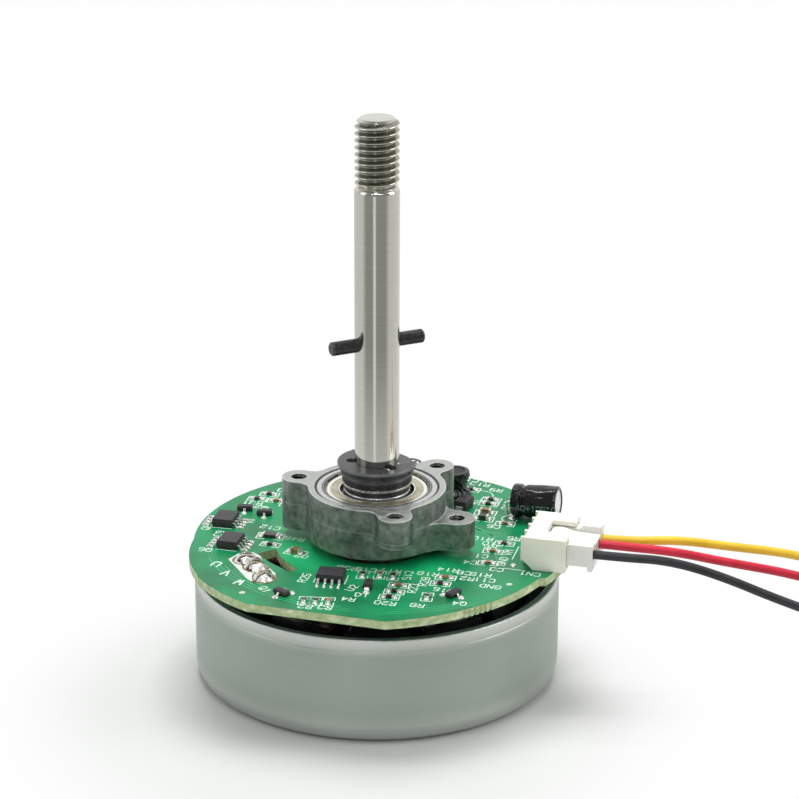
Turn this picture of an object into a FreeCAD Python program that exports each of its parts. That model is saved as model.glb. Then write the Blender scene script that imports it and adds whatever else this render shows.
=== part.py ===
import FreeCAD
import Part
import math
import os

# Outer-rotor brushless fan motor with its driver board, in millimetres.
# The rotor can stands on its closed bottom, so Z is the shaft's axis and z = 0 is the surface below.

# Shaft and what is on it
SHAFT_R = 4.0
SHAFT_TOP = 103.7
END_CHAMFER = 1.0
END_TAPER_LENGTH = 0.9
FOOT_CHAMFER = 0.3
THREAD_CREST_R = 3.95
THREAD_BOTTOM = 91.9
RELIEF_R = 3.5
RELIEF_BOTTOM = 91.4
SHOULDER_TAPER = 1.0
PIN_R = 1.25
PIN_LENGTH = 18.0
PIN_HEIGHT = 62.8
PIN_ANGLE = 25.3
PIN_CHAMFER = 0.25
CLIP_R = 7.15
CLIP_THICKNESS = 0.6
CLIP_GROOVE_R = 3.5
CLIP_ANGLE = 61.0
CLIP_FLARE = 31.0
CLIP_POCKET_R = 1.15
CLIP_POCKET_REACH = 4.45
CLIP_POCKET_ANGLE = 118.0
UPPER_WASHER_R = 6.65
UPPER_WASHER_THICKNESS = 1.2
LOWER_WASHER_R = 6.3
LOWER_WASHER_THICKNESS = 1.8
SHIM_R = 6.25
SHIM_THICKNESS = 0.4
SPACER_R = 6.0
SPACER_THICKNESS = 1.0
RUNNING_GAP = 0.05

# Upper ball bearing, 8 x 22 x 7
UPPER_SEAT = 28.4
UPPER_WIDTH = 7.0
UPPER_R = 11.0
UPPER_PITCH_R = 7.5
UPPER_BALL_R = 1.9845
UPPER_BALL_COUNT = 7
UPPER_RING_WALL = 1.9
UPPER_INNER_WALL = 2.05
UPPER_SHIELD = 0.3

# Lower ball bearing, 8 x 14 x 4
LOWER_SEAT = 6.0
LOWER_WIDTH = 4.0
LOWER_R = 7.0
LOWER_PITCH_R = 5.5
LOWER_BALL_R = 1.0
LOWER_BALL_COUNT = 9
LOWER_RING_WALL = 0.9
LOWER_INNER_WALL = 0.9
LOWER_SHIELD = 0.2
BALL_GAP = 0.045
SHIELD_DEPTH = 0.1
SHIELD_RIM = 0.22
SNAP_WIRE_R = 0.15
SNAP_WIRE_MOUTH = 25.0
SNAP_WIRE_ANGLE = 165.0
SHOULDER_RELIEF = 0.4

# Die-cast bearing housing
BOSS_R = 12.45
BOSS_TOP = 35.6
BOSS_BOTTOM = 26.1
BORE_CHAMFER = 0.38
NECK_R = 8.2
NECK_BORE_R = 4.9
LUG_COUNT = 3
LUG_ANGLE = 162.2
LUG_REACH = 14.9
LUG_R = 3.05
LUG_BLEND = 2.2
LUG_HOLE_R = 1.4
LUG_HOLE_CHAMFER = 0.12
SHORT_LUG_BOTTOM = 30.3
SIDE_LUG_ANGLE = -18.7
SIDE_LUG_REACH = 15.05
SIDE_LUG_R = 3.3
SIDE_LUG_TOP = 31.3
SIDE_LUG_BLEND = 3.2
EDGE_BREAK = 0.35

# Rotor can, hub and magnet
CAN_R = 33.1
CAN_HEIGHT = 20.0
CAN_WALL = 1.5
CAN_FLOOR = 1.6
CAN_CORNER_R = 3.3
CAN_INSIDE_CORNER_R = 1.8
BAND_HEIGHT = 2.3
BAND_DEPTH = 0.14
RIM_ROUND = 0.2
HUB_COLLAR_R = 6.5
HUB_FLANGE_R = 10.0
HUB_FLANGE_TOP = 3.2
HUB_BOSS_R = 4.8
MAGNET_THICKNESS = 2.85
MAGNET_BOTTOM = 3.6
MAGNET_TOP = 17.6

# Stator
TOOTH_COUNT = 12
AIR_GAP = 0.6
CORE_BOTTOM = 7.0
CORE_TOP = 15.0
CORE_HUB_R = 13.0
TOOTH_WIDTH = 4.2
TOOTH_TIP_DEPTH = 2.2
SLOT_OPENING = 4.0
INSULATOR_PLATE = 1.0
INSULATOR_MARGIN = 0.3
FLANGE_THICKNESS = 1.2
FLANGE_HEIGHT = 2.8
FLANGE_GAP = 0.6
POST_ANGLES = [75.0, 165.0, 343.0]
POST_REACH = 11.0
POST_R = 1.5
PEG_R = 0.8
PEG_STAND = 0.8
COIL_START = 14.1
COIL_TIP_GAP = 0.1
COIL_HALF_WIDTH_IN = 3.5
COIL_HALF_WIDTH_OUT = 5.2
COIL_END_TURN = 2.3
COIL_ROUND = 0.6

# Circuit board
BOARD_TOP = 24.4
BOARD_THICKNESS = 1.6
BOARD_R = 34.5
BOARD_SHIFT = (1.15, 1.7)
BOARD_CORNER_R = 35.2
BOARD_HOLE_R = 9.6
BITE_R = 0.3
BITE_COUNT = 6
HOLE_GAP = 0.05

# Connector: side-entry header, plug and three leads
HEADER_PLACE = (27.68, -5.83)
HEADER_ANGLE = -15.5
HEADER_LENGTH = 12.9
HEADER_DEPTH = 7.45
HEADER_HEIGHT = 6.1
HEADER_WALL = 0.9
HEADER_BACK = 1.6
HEADER_UNDERCUT = 1.6
KEYWAY = 5.6
KEYWAY_START = 3.2
RIB_R = 0.36
RIB_REACH = 0.62
RIB_ROUND = 0.25
CIRCUIT_PITCH = 2.5
CIRCUIT_COUNT = 4
PIN_SQUARE = 0.64
PIN_DROP = 0.34
PIN_REACH = 5.9
PLUG_START = 2.2
PLUG_END = 12.1
PLUG_GAP = 0.25
PLUG_FOOT = 0.8
PLUG_FRONT_RAIL = 0.15
PLUG_BACK_RAIL = 0.65
PLUG_TROUGH = 0.6
PLUG_LATCH_RISE = 0.25
CAVITY = 1.8
TERMINAL_START = 2.9
TERMINAL_END = 8.9
WIRED_CIRCUITS = {"black": 0, "red": 2, "yellow": 3}
WIRE_R = 0.8
LEAD_STRAIGHT = 8.0
TIP_R = 0.45
TIP_LENGTH = 5.0

# Capacitors
LYING_CAP_PLACE = (29.4, 11.7)
LYING_CAP_ANGLE = -18.0
LYING_CAP_TILT = 2.9
LYING_CAP_R = 3.15
LYING_CAP_LENGTH = 8.6
UPRIGHT_CAP_PLACE = (6.2, 26.0)
UPRIGHT_CAP_R = 2.5
UPRIGHT_CAP_HEIGHT = 5.6
SLEEVE = 0.15
CAP_GROOVE = 0.35
CAP_GROOVE_FROM_END = 1.6
CAP_LEAD_R = 0.25
CAP_LEAD_SPACING = 2.5

# Choke: a drum core in a shrunk sleeve
CHOKE_PLACE = (14.7, 22.2)
CHOKE_FOOT_R = 3.1
CHOKE_HEAD_R = 2.75
CHOKE_WAIST_R = 2.25
CHOKE_HEIGHT = 5.5
CHOKE_FLANGE = 1.3
CHOKE_TAPER = 0.8
CHOKE_SLEEVE = 0.2

# Small parts on the board: place and the direction in which each one points
SO_LENGTH = 4.9
SO_WIDTH = 3.9
SO_HEIGHT = 1.55
SO_PITCH = 1.27
LEAD_WIDTH = 0.42
LEAD_REACH = 1.15
LEAD_THICKNESS = 0.2
STANDOFF = 0.1
MOSFET_PLACES = [(-27.9, 9.6, -14.0), (-26.5, -0.8, -16.5), (-8.1, -16.4, 80.5)]
CONTROLLER_PLACE = (-5.8, 21.5, 90.0)
CONTROLLER_LENGTH = 9.7
CONTROLLER_WIDTH = 4.4
CONTROLLER_HEIGHT = 1.0
CONTROLLER_PITCH = 0.65
CONTROLLER_PIN_COUNT = 14
SOT_LENGTH = 2.9
SOT_WIDTH = 1.4
SOT_HEIGHT = 1.0
SOT_PITCH = 1.9
TRANSISTOR_PLACES = [
    (-24.6, 15.7, 175.0),
    (-20.9, 13.4, 177.0),
    (-16.6, -23.2, 138.0),
    (13.3, -23.7, -130.0),
]
SURGE_DIODE_PLACE = (16.2, 16.6, 66.0)
SURGE_DIODE_SIZE = (4.0, 2.5, 2.0)
SMALL_DIODE_PLACE = (-1.6, -20.0, 83.0)
SMALL_DIODE_SIZE = (2.7, 1.6, 1.1)
CHIP_SIZE = (1.6, 0.8, 0.45)
LARGE_CHIP_SIZE = (2.0, 1.25, 0.9)
SHUNT_SIZE = (3.0, 1.6, 0.6)
RESISTOR_PLACES = [
    (-2.5, -14.6, 82.0),
    (2.9, -15.3, 82.0),
    (3.0, -22.1, -10.0),
    (2.1, -24.4, -10.0),
    (8.7, -24.3, 82.0),
    (11.1, -18.6, -12.0),
    (-12.6, -25.9, 83.0),
    (-10.6, -26.1, 83.0),
    (21.5, 20.8, -20.0),
    (20.9, 18.6, -20.0),
    (23.1, -0.5, -15.0),
    (17.8, 26.0, -20.0),
    (-22.5, 21.2, -15.0),
    (-20.3, 23.5, -15.0),
    (-19.3, -0.9, -20.0),
]
CAPACITOR_PLACES = [
    (0.5, -14.7, 82.0),
    (3.8, -19.3, -10.0),
    (12.1, -15.9, -12.0),
    (-8.4, -26.3, 83.0),
    (19.8, -9.4, -10.0),
    (20.9, -4.1, -15.0),
    (23.6, 8.9, -15.0),
    (-18.8, 20.2, -15.0),
]
LARGE_CAPACITOR_PLACES = [(-14.6, -4.6, -26.0), (20.2, 14.3, -15.0)]
LARGE_RESISTOR_PLACES = [(19.6, 11.3, -15.0)]
SHUNT_PLACES = [(-19.4, 3.0, -13.0)]
CAP_END = 0.32
HALL_ANGLES = [90.0, 120.0, 150.0]
HALL_REACH = 26.5
WINDING_PLACES = [(-23.4, -8.0), (-21.7, -11.3), (-20.0, -15.9)]
WINDING_R = 0.35
SOLDER_R = 1.35
SOLDER_HEIGHT = 0.75

# Leads beyond the plug, chosen by eye: out level, down to the floor, then loosely along it
BLACK_ROUTE = [
    (51.5, -14.6, 27.1),
    (60.5, -14.4, 24.2),
    (72.0, -14.9, 19.3),
    (85.0, -14.1, 14.2),
    (97.0, -12.2, 6.8),
    (108.0, -9.0, 0.8),
    (120.0, -7.6, 0.8),
    (132.0, -9.8, 0.8),
    (144.0, -16.2, 0.8),
    (155.5, -19.6, 0.8),
    (163.0, -17.6, 0.8),
]
RED_ROUTE = [
    (53.0, -9.4, 26.6),
    (62.0, -8.6, 24.3),
    (74.0, -8.2, 21.9),
    (87.0, -6.8, 17.4),
    (99.0, -5.0, 10.2),
    (109.5, -2.6, 3.2),
    (120.0, 0.2, 0.8),
    (132.0, 1.2, 0.8),
    (144.0, -2.4, 0.8),
    (154.5, -7.6, 0.8),
    (162.5, -8.6, 0.8),
]
YELLOW_ROUTE = [
    (54.0, -6.3, 27.6),
    (63.0, -5.0, 25.8),
    (75.0, -3.6, 23.8),
    (88.0, -1.4, 19.2),
    (100.5, 1.4, 11.6),
    (111.0, 4.6, 4.0),
    (121.5, 8.2, 0.8),
    (133.5, 10.6, 0.8),
    (145.5, 9.0, 0.8),
    (155.0, 4.4, 0.8),
    (161.5, 1.4, 0.8),
]

# Heights and sizes that follow from the values above
BOARD_BOTTOM = BOARD_TOP - BOARD_THICKNESS
UPPER_TOP = UPPER_SEAT + UPPER_WIDTH
LOWER_TOP = LOWER_SEAT + LOWER_WIDTH
SPACER_TOP = UPPER_TOP + SPACER_THICKNESS
SHIM_TOP = SPACER_TOP + SHIM_THICKNESS
LOWER_WASHER_TOP = SHIM_TOP + LOWER_WASHER_THICKNESS
UPPER_WASHER_TOP = LOWER_WASHER_TOP + UPPER_WASHER_THICKNESS
CLIP_TOP = UPPER_WASHER_TOP + CLIP_THICKNESS
CAN_INSIDE_R = CAN_R - CAN_WALL
MAGNET_INSIDE_R = CAN_INSIDE_R - MAGNET_THICKNESS
CORE_R = MAGNET_INSIDE_R - AIR_GAP
COIL_END = math.sqrt((CORE_R - TOOTH_TIP_DEPTH - COIL_TIP_GAP) ** 2 - COIL_HALF_WIDTH_OUT ** 2)
HEADER_TOP = BOARD_TOP + HEADER_HEIGHT
PLUG_BOTTOM = BOARD_TOP + HEADER_WALL + PLUG_GAP
PLUG_TOP = HEADER_TOP - HEADER_WALL - PLUG_GAP
PLUG_MIDDLE = (PLUG_BOTTOM + PLUG_TOP) / 2
PLUG_HALF = HEADER_LENGTH / 2 - HEADER_WALL - PLUG_GAP


def vec(x, y, z=0.0):
    return FreeCAD.Vector(x, y, z)


ORIGIN = vec(0, 0)
UP = vec(0, 0, 1)


def polar(radius, degrees):
    """Plan point at a radius and an angle from X."""
    return radius * math.cos(math.radians(degrees)), radius * math.sin(math.radians(degrees))


def rounded_wire(corners):
    """Closed plan outline; a corner's third number is the radius that rounds it."""
    spots = [vec(corner[0], corner[1]) for corner in corners]
    radii = [corner[2] if len(corner) > 2 else 0.0 for corner in corners]
    edges = []
    last_end = None
    first_start = None
    for i, here in enumerate(spots):
        back = (spots[i - 1] - here).normalize()
        ahead = (spots[(i + 1) % len(spots)] - here).normalize()
        half = back.getAngle(ahead) / 2
        reach = radii[i] / math.tan(half)
        start = here + back * reach
        end = here + ahead * reach
        if last_end is not None and (start - last_end).Length > 1e-6:
            edges.append(Part.LineSegment(last_end, start).toShape())
        if radii[i]:
            middle = here + (back + ahead).normalize() * (radii[i] / math.sin(half) - radii[i])
            edges.append(Part.Arc(start, middle, end).toShape())
        if first_start is None:
            first_start = start
        last_end = end
    if (first_start - last_end).Length > 1e-6:
        edges.append(Part.LineSegment(last_end, first_start).toShape())
    return Part.Wire(edges)


def turned(corners, degrees=360.0):
    """Solid turned about Z from an outline of (radius, height) corners."""
    face = Part.Face(rounded_wire(corners))
    face.rotate(ORIGIN, vec(1, 0), 90)
    return face.revolve(ORIGIN, UP, degrees)


def prism(wire, bottom, top):
    """Plan outline raised from one height to another."""
    face = Part.Face(wire)
    face.translate(vec(0, 0, bottom))
    return face.extrude(vec(0, 0, top - bottom))


def side_prism(corners, left, right):
    """Outline of (x, z) corners, drawn along Y from left to right."""
    face = Part.Face(rounded_wire(corners))
    face.rotate(ORIGIN, vec(1, 0), 90)
    face.translate(vec(0, left))
    return face.extrude(vec(0, right - left))


def cylinder(radius, bottom, top, x=0.0, y=0.0):
    return Part.makeCylinder(radius, top - bottom, vec(x, y, bottom))


def ring(outer, inner, bottom, top, break_edge=0.0):
    """Turned ring with its outer edges broken."""
    return turned([
        (inner, bottom),
        (outer, bottom, break_edge),
        (outer, top, break_edge),
        (inner, top),
    ])


def block(x0, x1, y0, y1, z0, z1):
    return Part.makeBox(x1 - x0, y1 - y0, z1 - z0, vec(x0, y0, z0))


def centred_block(length, width, bottom, top):
    return block(-length / 2, length / 2, -width / 2, width / 2, bottom, top)


def placed(shape, place):
    """Copy turned about Z and moved to its place in the plan."""
    copy = shape.copy()
    copy.rotate(ORIGIN, UP, place[2])
    copy.translate(vec(place[0], place[1]))
    return copy


def around(shape, count, start=0.0):
    """Copies spaced evenly about the shaft's axis."""
    return [placed(shape, (0, 0, start + 360.0 * i / count)) for i in range(count)]


def fused(shapes):
    return shapes[0].multiFuse(shapes[1:]).removeSplitter()


def save(name, *shapes):
    """Write a node; several shapes stay separate solids."""
    solids = [solid for shape in shapes for solid in shape.Solids]
    shape = solids[0] if len(solids) == 1 else Part.makeCompound(solids)
    if not shape.isValid():
        print("not valid:", name)
    shape.exportStep(os.path.join("parts", name + ".step"))


def pipe(points, radius):
    """Round tube along straight runs joined by tangent arcs; also gives its smallest arc and length."""
    spots = [vec(*point) for point in points]
    edges = []
    radii = []
    start = spots[0]
    for i in range(1, len(spots) - 1):
        back = spots[i - 1] - spots[i]
        ahead = spots[i + 1] - spots[i]
        shorter = min(back.Length, ahead.Length)
        half_turn = (math.pi - back.getAngle(ahead)) / 2
        arc_radius = 0.45 * shorter / math.tan(half_turn)
        radii.append(arc_radius)
        back.normalize()
        ahead.normalize()
        enter = spots[i] + back * (0.45 * shorter)
        leave = spots[i] + ahead * (0.45 * shorter)
        inward = (back + ahead).normalize()
        middle = spots[i] + inward * (arc_radius / math.cos(half_turn) - arc_radius)
        edges.append(Part.LineSegment(start, enter).toShape())
        edges.append(Part.Arc(enter, middle, leave).toShape())
        start = leave
    edges.append(Part.LineSegment(start, spots[-1]).toShape())
    path = Part.Wire(edges)
    section = Part.Wire(Part.Circle(spots[0], spots[1] - spots[0], radius).toShape())
    tube = path.makePipeShell([section], True, False)
    return tube, min(radii), path.Length


# Rotor
def make_shaft():
    """Ground rod with a threaded end behind a turned relief, a clip groove and a cross hole."""
    clip_bottom = CLIP_TOP - CLIP_THICKNESS
    rod = turned([
        (0, 0),
        (SHAFT_R - FOOT_CHAMFER, 0),
        (SHAFT_R, FOOT_CHAMFER),
        (SHAFT_R, clip_bottom),
        (CLIP_GROOVE_R, clip_bottom),
        (CLIP_GROOVE_R, CLIP_TOP + RUNNING_GAP),
        (SHAFT_R, CLIP_TOP + RUNNING_GAP),
        (SHAFT_R, RELIEF_BOTTOM - SHOULDER_TAPER, 0.5),
        (RELIEF_R, RELIEF_BOTTOM),
        (RELIEF_R, THREAD_BOTTOM),
        (THREAD_CREST_R, THREAD_BOTTOM + THREAD_CREST_R - RELIEF_R),
        (THREAD_CREST_R, SHAFT_TOP - END_TAPER_LENGTH),
        (THREAD_CREST_R - END_CHAMFER, SHAFT_TOP),
        (0, SHAFT_TOP),
    ])
    return rod.cut(make_cross_pin(RUNNING_GAP))


def make_cross_pin(extra=0.0):
    """Pin through the shaft; extra radius makes the tool for its hole."""
    half = PIN_LENGTH / 2
    pin = turned([
        (0, -half),
        (PIN_R + extra - PIN_CHAMFER, -half),
        (PIN_R + extra, PIN_CHAMFER - half),
        (PIN_R + extra, half - PIN_CHAMFER),
        (PIN_R + extra - PIN_CHAMFER, half),
        (0, half),
    ])
    pin.rotate(ORIGIN, vec(0, 1), 90)
    pin.rotate(ORIGIN, UP, PIN_ANGLE)
    pin.translate(vec(0, 0, PIN_HEIGHT))
    return pin


def make_clip():
    """Retaining clip: its mouth flares along two tangents, and two pockets leave three inner pads."""
    disc = ring(CLIP_R, CLIP_GROOVE_R, CLIP_TOP - CLIP_THICKNESS, CLIP_TOP, 0.15)
    low = CLIP_TOP - CLIP_THICKNESS - 1
    high = CLIP_TOP + 1
    corners = [(0, 0)]
    for side in (-1, 1):
        touch = polar(CLIP_GROOVE_R, side * (90 + CLIP_FLARE))
        reach = polar(2 * CLIP_R, side * CLIP_FLARE)
        far = (touch[0] + reach[0], touch[1] + reach[1])
        corners += [touch, far] if side < 0 else [far, touch]
    tools = [prism(rounded_wire(corners), low, high)]
    for turn in (CLIP_POCKET_ANGLE, -CLIP_POCKET_ANGLE):
        x, y = polar(CLIP_POCKET_REACH, turn)
        tools.append(cylinder(CLIP_POCKET_R, low, high, x, y))
    return placed(disc.cut(tools), (0, 0, CLIP_ANGLE))


def make_can():
    """Deep-drawn cup with a shallow turned band below its rim."""
    band_bottom = CAN_HEIGHT - BAND_HEIGHT
    return turned([
        (HUB_COLLAR_R, 0),
        (CAN_R, 0, CAN_CORNER_R),
        (CAN_R, band_bottom),
        (CAN_R - BAND_DEPTH, band_bottom + BAND_DEPTH),
        (CAN_R - BAND_DEPTH, CAN_HEIGHT, RIM_ROUND),
        (CAN_INSIDE_R, CAN_HEIGHT, RIM_ROUND),
        (CAN_INSIDE_R, CAN_FLOOR, CAN_INSIDE_CORNER_R),
        (HUB_COLLAR_R, CAN_FLOOR),
    ])


def make_hub():
    """Bush pressed on the shaft and riveted through the can's floor."""
    return turned([
        (SHAFT_R, 0),
        (HUB_COLLAR_R, 0),
        (HUB_COLLAR_R, CAN_FLOOR),
        (HUB_FLANGE_R, CAN_FLOOR),
        (HUB_FLANGE_R, HUB_FLANGE_TOP, 0.5),
        (HUB_BOSS_R + 1.4, HUB_FLANGE_TOP),
        (HUB_BOSS_R, HUB_FLANGE_TOP + 1.4),
        (HUB_BOSS_R, LOWER_SEAT),
        (SHAFT_R, LOWER_SEAT),
    ])


# Ball bearings
def outer_race(outer, wall, seat, width, pitch, ball):
    """Outer ring with a rebate for the shield at each side and a groove for the balls."""
    top = seat + width
    inside = outer - wall
    step = 0.26 * wall
    rebate = SHIELD_DEPTH * width
    blank = turned([
        (inside + step, seat),
        (outer, seat, 0.15 * wall),
        (outer, top, 0.15 * wall),
        (inside + step, top),
        (inside + step, top - rebate),
        (inside, top - rebate),
        (inside, seat + rebate),
        (inside + step, seat + rebate),
    ])
    groove = Part.makeTorus(pitch, ball + BALL_GAP, vec(0, 0, seat + width / 2))
    return blank.cut(groove)


def inner_race(wall, seat, width, pitch, ball):
    blank = ring(SHAFT_R + wall, SHAFT_R, seat, seat + width, 0.15 * wall)
    groove = Part.makeTorus(pitch, ball + BALL_GAP, vec(0, 0, seat + width / 2))
    return blank.cut(groove)


def shield(outer, wall, inner_wall, height, thickness, facing):
    """Pressed shield that sits in the outer ring's rebate and clears the inner ring."""
    rim = outer - wall + SHIELD_RIM * wall
    plate = ring(rim, SHAFT_R + inner_wall + 0.25, 0, thickness)
    plate.translate(vec(0, 0, height - thickness * (facing > 0)))
    return plate


def balls(pitch, ball, count, height):
    one = Part.makeSphere(ball, vec(pitch, 0, height))
    return around(one, count)


def cage(pitch, ball, count, height, half_width):
    """Crown cage: a thin ring below the balls with open round pockets."""
    back = height - ball - 0.45
    blank = ring(pitch + half_width, pitch - half_width, back, height + 0.45 * ball)
    pockets = balls(pitch, ball + BALL_GAP, count, height)
    return blank.cut(pockets)


def snap_ring(height):
    """Round wire ring with a gap that holds the upper bearing's shield."""
    reach = UPPER_R - UPPER_RING_WALL + SHIELD_RIM * UPPER_RING_WALL - SNAP_WIRE_R
    section = Part.Face(Part.Wire(Part.Circle(vec(reach, 0, height), vec(0, 1), SNAP_WIRE_R).toShape()))
    loop = section.revolve(ORIGIN, UP, 360 - SNAP_WIRE_MOUTH)
    return placed(loop, (0, 0, SNAP_WIRE_ANGLE))


# Bearing housing
def lug_wire(reach, radius, blend):
    """Plan of a lug along X: round end, straight sides and hollow blends into the boss."""
    blend_x = math.sqrt((BOSS_R + blend) ** 2 - (radius + blend) ** 2)
    touch = BOSS_R / (BOSS_R + blend)
    sides = []
    for side in (-1, 1):
        centre = vec(blend_x, side * (radius + blend))
        line_end = vec(blend_x, side * radius)
        boss_point = centre * touch
        middle = centre + ((line_end - centre).normalize() - centre * (1 / centre.Length)).normalize() * blend
        sides.append((vec(reach, side * radius), line_end, middle, boss_point))
    right, left = sides
    return Part.Wire([
        Part.Arc(left[0], vec(reach + radius, 0), right[0]).toShape(),
        Part.LineSegment(right[0], right[1]).toShape(),
        Part.Arc(right[1], right[2], right[3]).toShape(),
        Part.LineSegment(right[3], ORIGIN).toShape(),
        Part.LineSegment(ORIGIN, left[3]).toShape(),
        Part.Arc(left[3], left[2], left[1]).toShape(),
        Part.LineSegment(left[1], left[0]).toShape(),
    ])


def lug_hole(bottom, top, x, y):
    """Tool for a tapped hole that is countersunk at its top."""
    wide = LUG_HOLE_R + LUG_HOLE_CHAMFER
    tool = turned([
        (0, bottom - 1),
        (LUG_HOLE_R, bottom - 1),
        (LUG_HOLE_R, top - LUG_HOLE_CHAMFER),
        (wide, top),
        (wide, top + 1),
        (0, top + 1),
    ])
    tool.translate(vec(x, y))
    return tool


def make_housing():
    """Boss with four lugs, and a neck that carries the stator and both bearings."""
    body = [
        turned([
            (0, BOSS_BOTTOM),
            (BOSS_R, BOSS_BOTTOM, EDGE_BREAK),
            (BOSS_R, BOSS_TOP),
            (0, BOSS_TOP),
        ]),
        turned([
            (0, LOWER_SEAT + 0.2),
            (NECK_R, LOWER_SEAT + 0.2, EDGE_BREAK),
            (NECK_R, BOSS_BOTTOM),
            (0, BOSS_BOTTOM),
        ]),
    ]
    lug = lug_wire(LUG_REACH, LUG_R, LUG_BLEND)
    spacing = 360.0 / LUG_COUNT
    holes = []
    for i in range(LUG_COUNT):
        angle = LUG_ANGLE + spacing * i
        short = i == 1
        bottom = SHORT_LUG_BOTTOM if short else BOSS_BOTTOM
        body.append(placed(prism(lug, bottom, BOSS_TOP), (0, 0, angle)))
        x, y = polar(LUG_REACH, angle)
        holes.append(lug_hole(bottom, BOSS_TOP, x, y))
    side = lug_wire(SIDE_LUG_REACH, SIDE_LUG_R, SIDE_LUG_BLEND)
    body.append(placed(prism(side, BOSS_BOTTOM, SIDE_LUG_TOP), (0, 0, SIDE_LUG_ANGLE)))
    x, y = polar(SIDE_LUG_REACH, SIDE_LUG_ANGLE)
    holes.append(lug_hole(BOSS_BOTTOM, SIDE_LUG_TOP, x, y))
    bore = turned([
        (0, LOWER_SEAT - 1),
        (LOWER_R, LOWER_SEAT - 1),
        (LOWER_R, LOWER_TOP),
        (LOWER_R - LOWER_RING_WALL, LOWER_TOP),
        (LOWER_R - LOWER_RING_WALL, LOWER_TOP + SHOULDER_RELIEF),
        (NECK_BORE_R, LOWER_TOP + SHOULDER_RELIEF),
        (NECK_BORE_R, UPPER_SEAT - SHOULDER_RELIEF),
        (UPPER_R - UPPER_RING_WALL, UPPER_SEAT - SHOULDER_RELIEF),
        (UPPER_R - UPPER_RING_WALL, UPPER_SEAT),
        (UPPER_R, UPPER_SEAT),
        (UPPER_R, BOSS_TOP - BORE_CHAMFER),
        (UPPER_R + BORE_CHAMFER, BOSS_TOP),
        (UPPER_R + BORE_CHAMFER, BOSS_TOP + 1),
        (0, BOSS_TOP + 1),
    ])
    return fused(body).cut(holes + [bore])


# Stator
def sector(outer, inner, bottom, top, degrees):
    """Part of a ring, centred on X."""
    piece = turned([(inner, bottom), (outer, bottom), (outer, top), (inner, top)], degrees)
    return placed(piece, (0, 0, -degrees / 2))


def make_core():
    """Stack of laminations: a hub pressed on the neck, teeth and their wide tips."""
    tip_angle = 360.0 / TOOTH_COUNT - SLOT_OPENING
    tooth = fused([
        block(CORE_HUB_R - 1, CORE_R - TOOTH_TIP_DEPTH + 0.5, -TOOTH_WIDTH / 2, TOOTH_WIDTH / 2,
              CORE_BOTTOM, CORE_TOP),
        sector(CORE_R, CORE_R - TOOTH_TIP_DEPTH, CORE_BOTTOM, CORE_TOP, tip_angle),
    ])
    hub = ring(CORE_HUB_R, NECK_R, CORE_BOTTOM, CORE_TOP)
    return fused([hub] + around(tooth, TOOTH_COUNT))


def make_insulator(face, direction):
    """Moulded end piece on one face of the core, with a wall behind and before each coil."""
    plate_end = face + direction * INSULATOR_PLATE
    wall_end = plate_end + direction * FLANGE_HEIGHT
    low, high = sorted((face, plate_end))
    wall_low, wall_high = sorted((face, wall_end))
    width = TOOTH_WIDTH + 2 * INSULATOR_MARGIN
    outside = CORE_R - FLANGE_GAP
    tip_angle = 360.0 / TOOTH_COUNT - SLOT_OPENING - 2
    arm = block(CORE_HUB_R - 1, outside - FLANGE_THICKNESS / 2, -width / 2, width / 2, low, high)
    flange = sector(outside, outside - FLANGE_THICKNESS, wall_low, wall_high, tip_angle)
    hub = ring(CORE_HUB_R + INSULATOR_MARGIN, NECK_R + RUNNING_GAP, low, high)
    return fused([hub] + around(arm, TOOTH_COUNT) + around(flange, TOOTH_COUNT))


def post_places():
    return [polar(POST_REACH, angle) for angle in POST_ANGLES]


def make_upper_insulator():
    """Upper end piece with the three posts and pegs that carry the circuit board."""
    pieces = [make_insulator(CORE_TOP, 1)]
    for x, y in post_places():
        pieces.append(cylinder(POST_R, CORE_TOP + INSULATOR_PLATE / 2, BOARD_BOTTOM, x, y))
        pieces.append(cylinder(PEG_R, BOARD_BOTTOM - 1, BOARD_TOP + PEG_STAND, x, y))
    return fused(pieces)


def make_coil():
    """Winding round one tooth: wider towards the rim, with a window for the insulated tooth."""
    low = CORE_BOTTOM - INSULATOR_PLATE - COIL_END_TURN
    high = CORE_TOP + INSULATOR_PLATE + COIL_END_TURN
    plan = rounded_wire([
        (COIL_START, -COIL_HALF_WIDTH_IN),
        (COIL_END, -COIL_HALF_WIDTH_OUT),
        (COIL_END, COIL_HALF_WIDTH_OUT),
        (COIL_START, COIL_HALF_WIDTH_IN),
    ])
    blank = prism(plan, low, high)
    long_edges = [edge for edge in blank.Edges
                  if abs(edge.Length - (COIL_END - COIL_START)) < 0.3 and abs(edge.tangentAt(0).z) < 0.1]
    blank = blank.makeFillet(COIL_ROUND, long_edges)
    half = TOOTH_WIDTH / 2 + INSULATOR_MARGIN
    window = block(COIL_START - 1, COIL_END + 1, -half, half,
                   CORE_BOTTOM - INSULATOR_PLATE, CORE_TOP + INSULATOR_PLATE)
    return blank.cut(window)


# Circuit board
def header_point(x, y):
    """Plan point of a place in the header, whose own X is the way that the plug goes in."""
    dx, dy = polar(x, HEADER_ANGLE)
    ex, ey = polar(y, HEADER_ANGLE + 90)
    return HEADER_PLACE[0] + dx + ex, HEADER_PLACE[1] + dy + ey


def circuit_offsets():
    """Places of the circuits across the header, from the front."""
    return [CIRCUIT_PITCH * (i - (CIRCUIT_COUNT - 1) / 2) for i in range(CIRCUIT_COUNT)]


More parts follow.
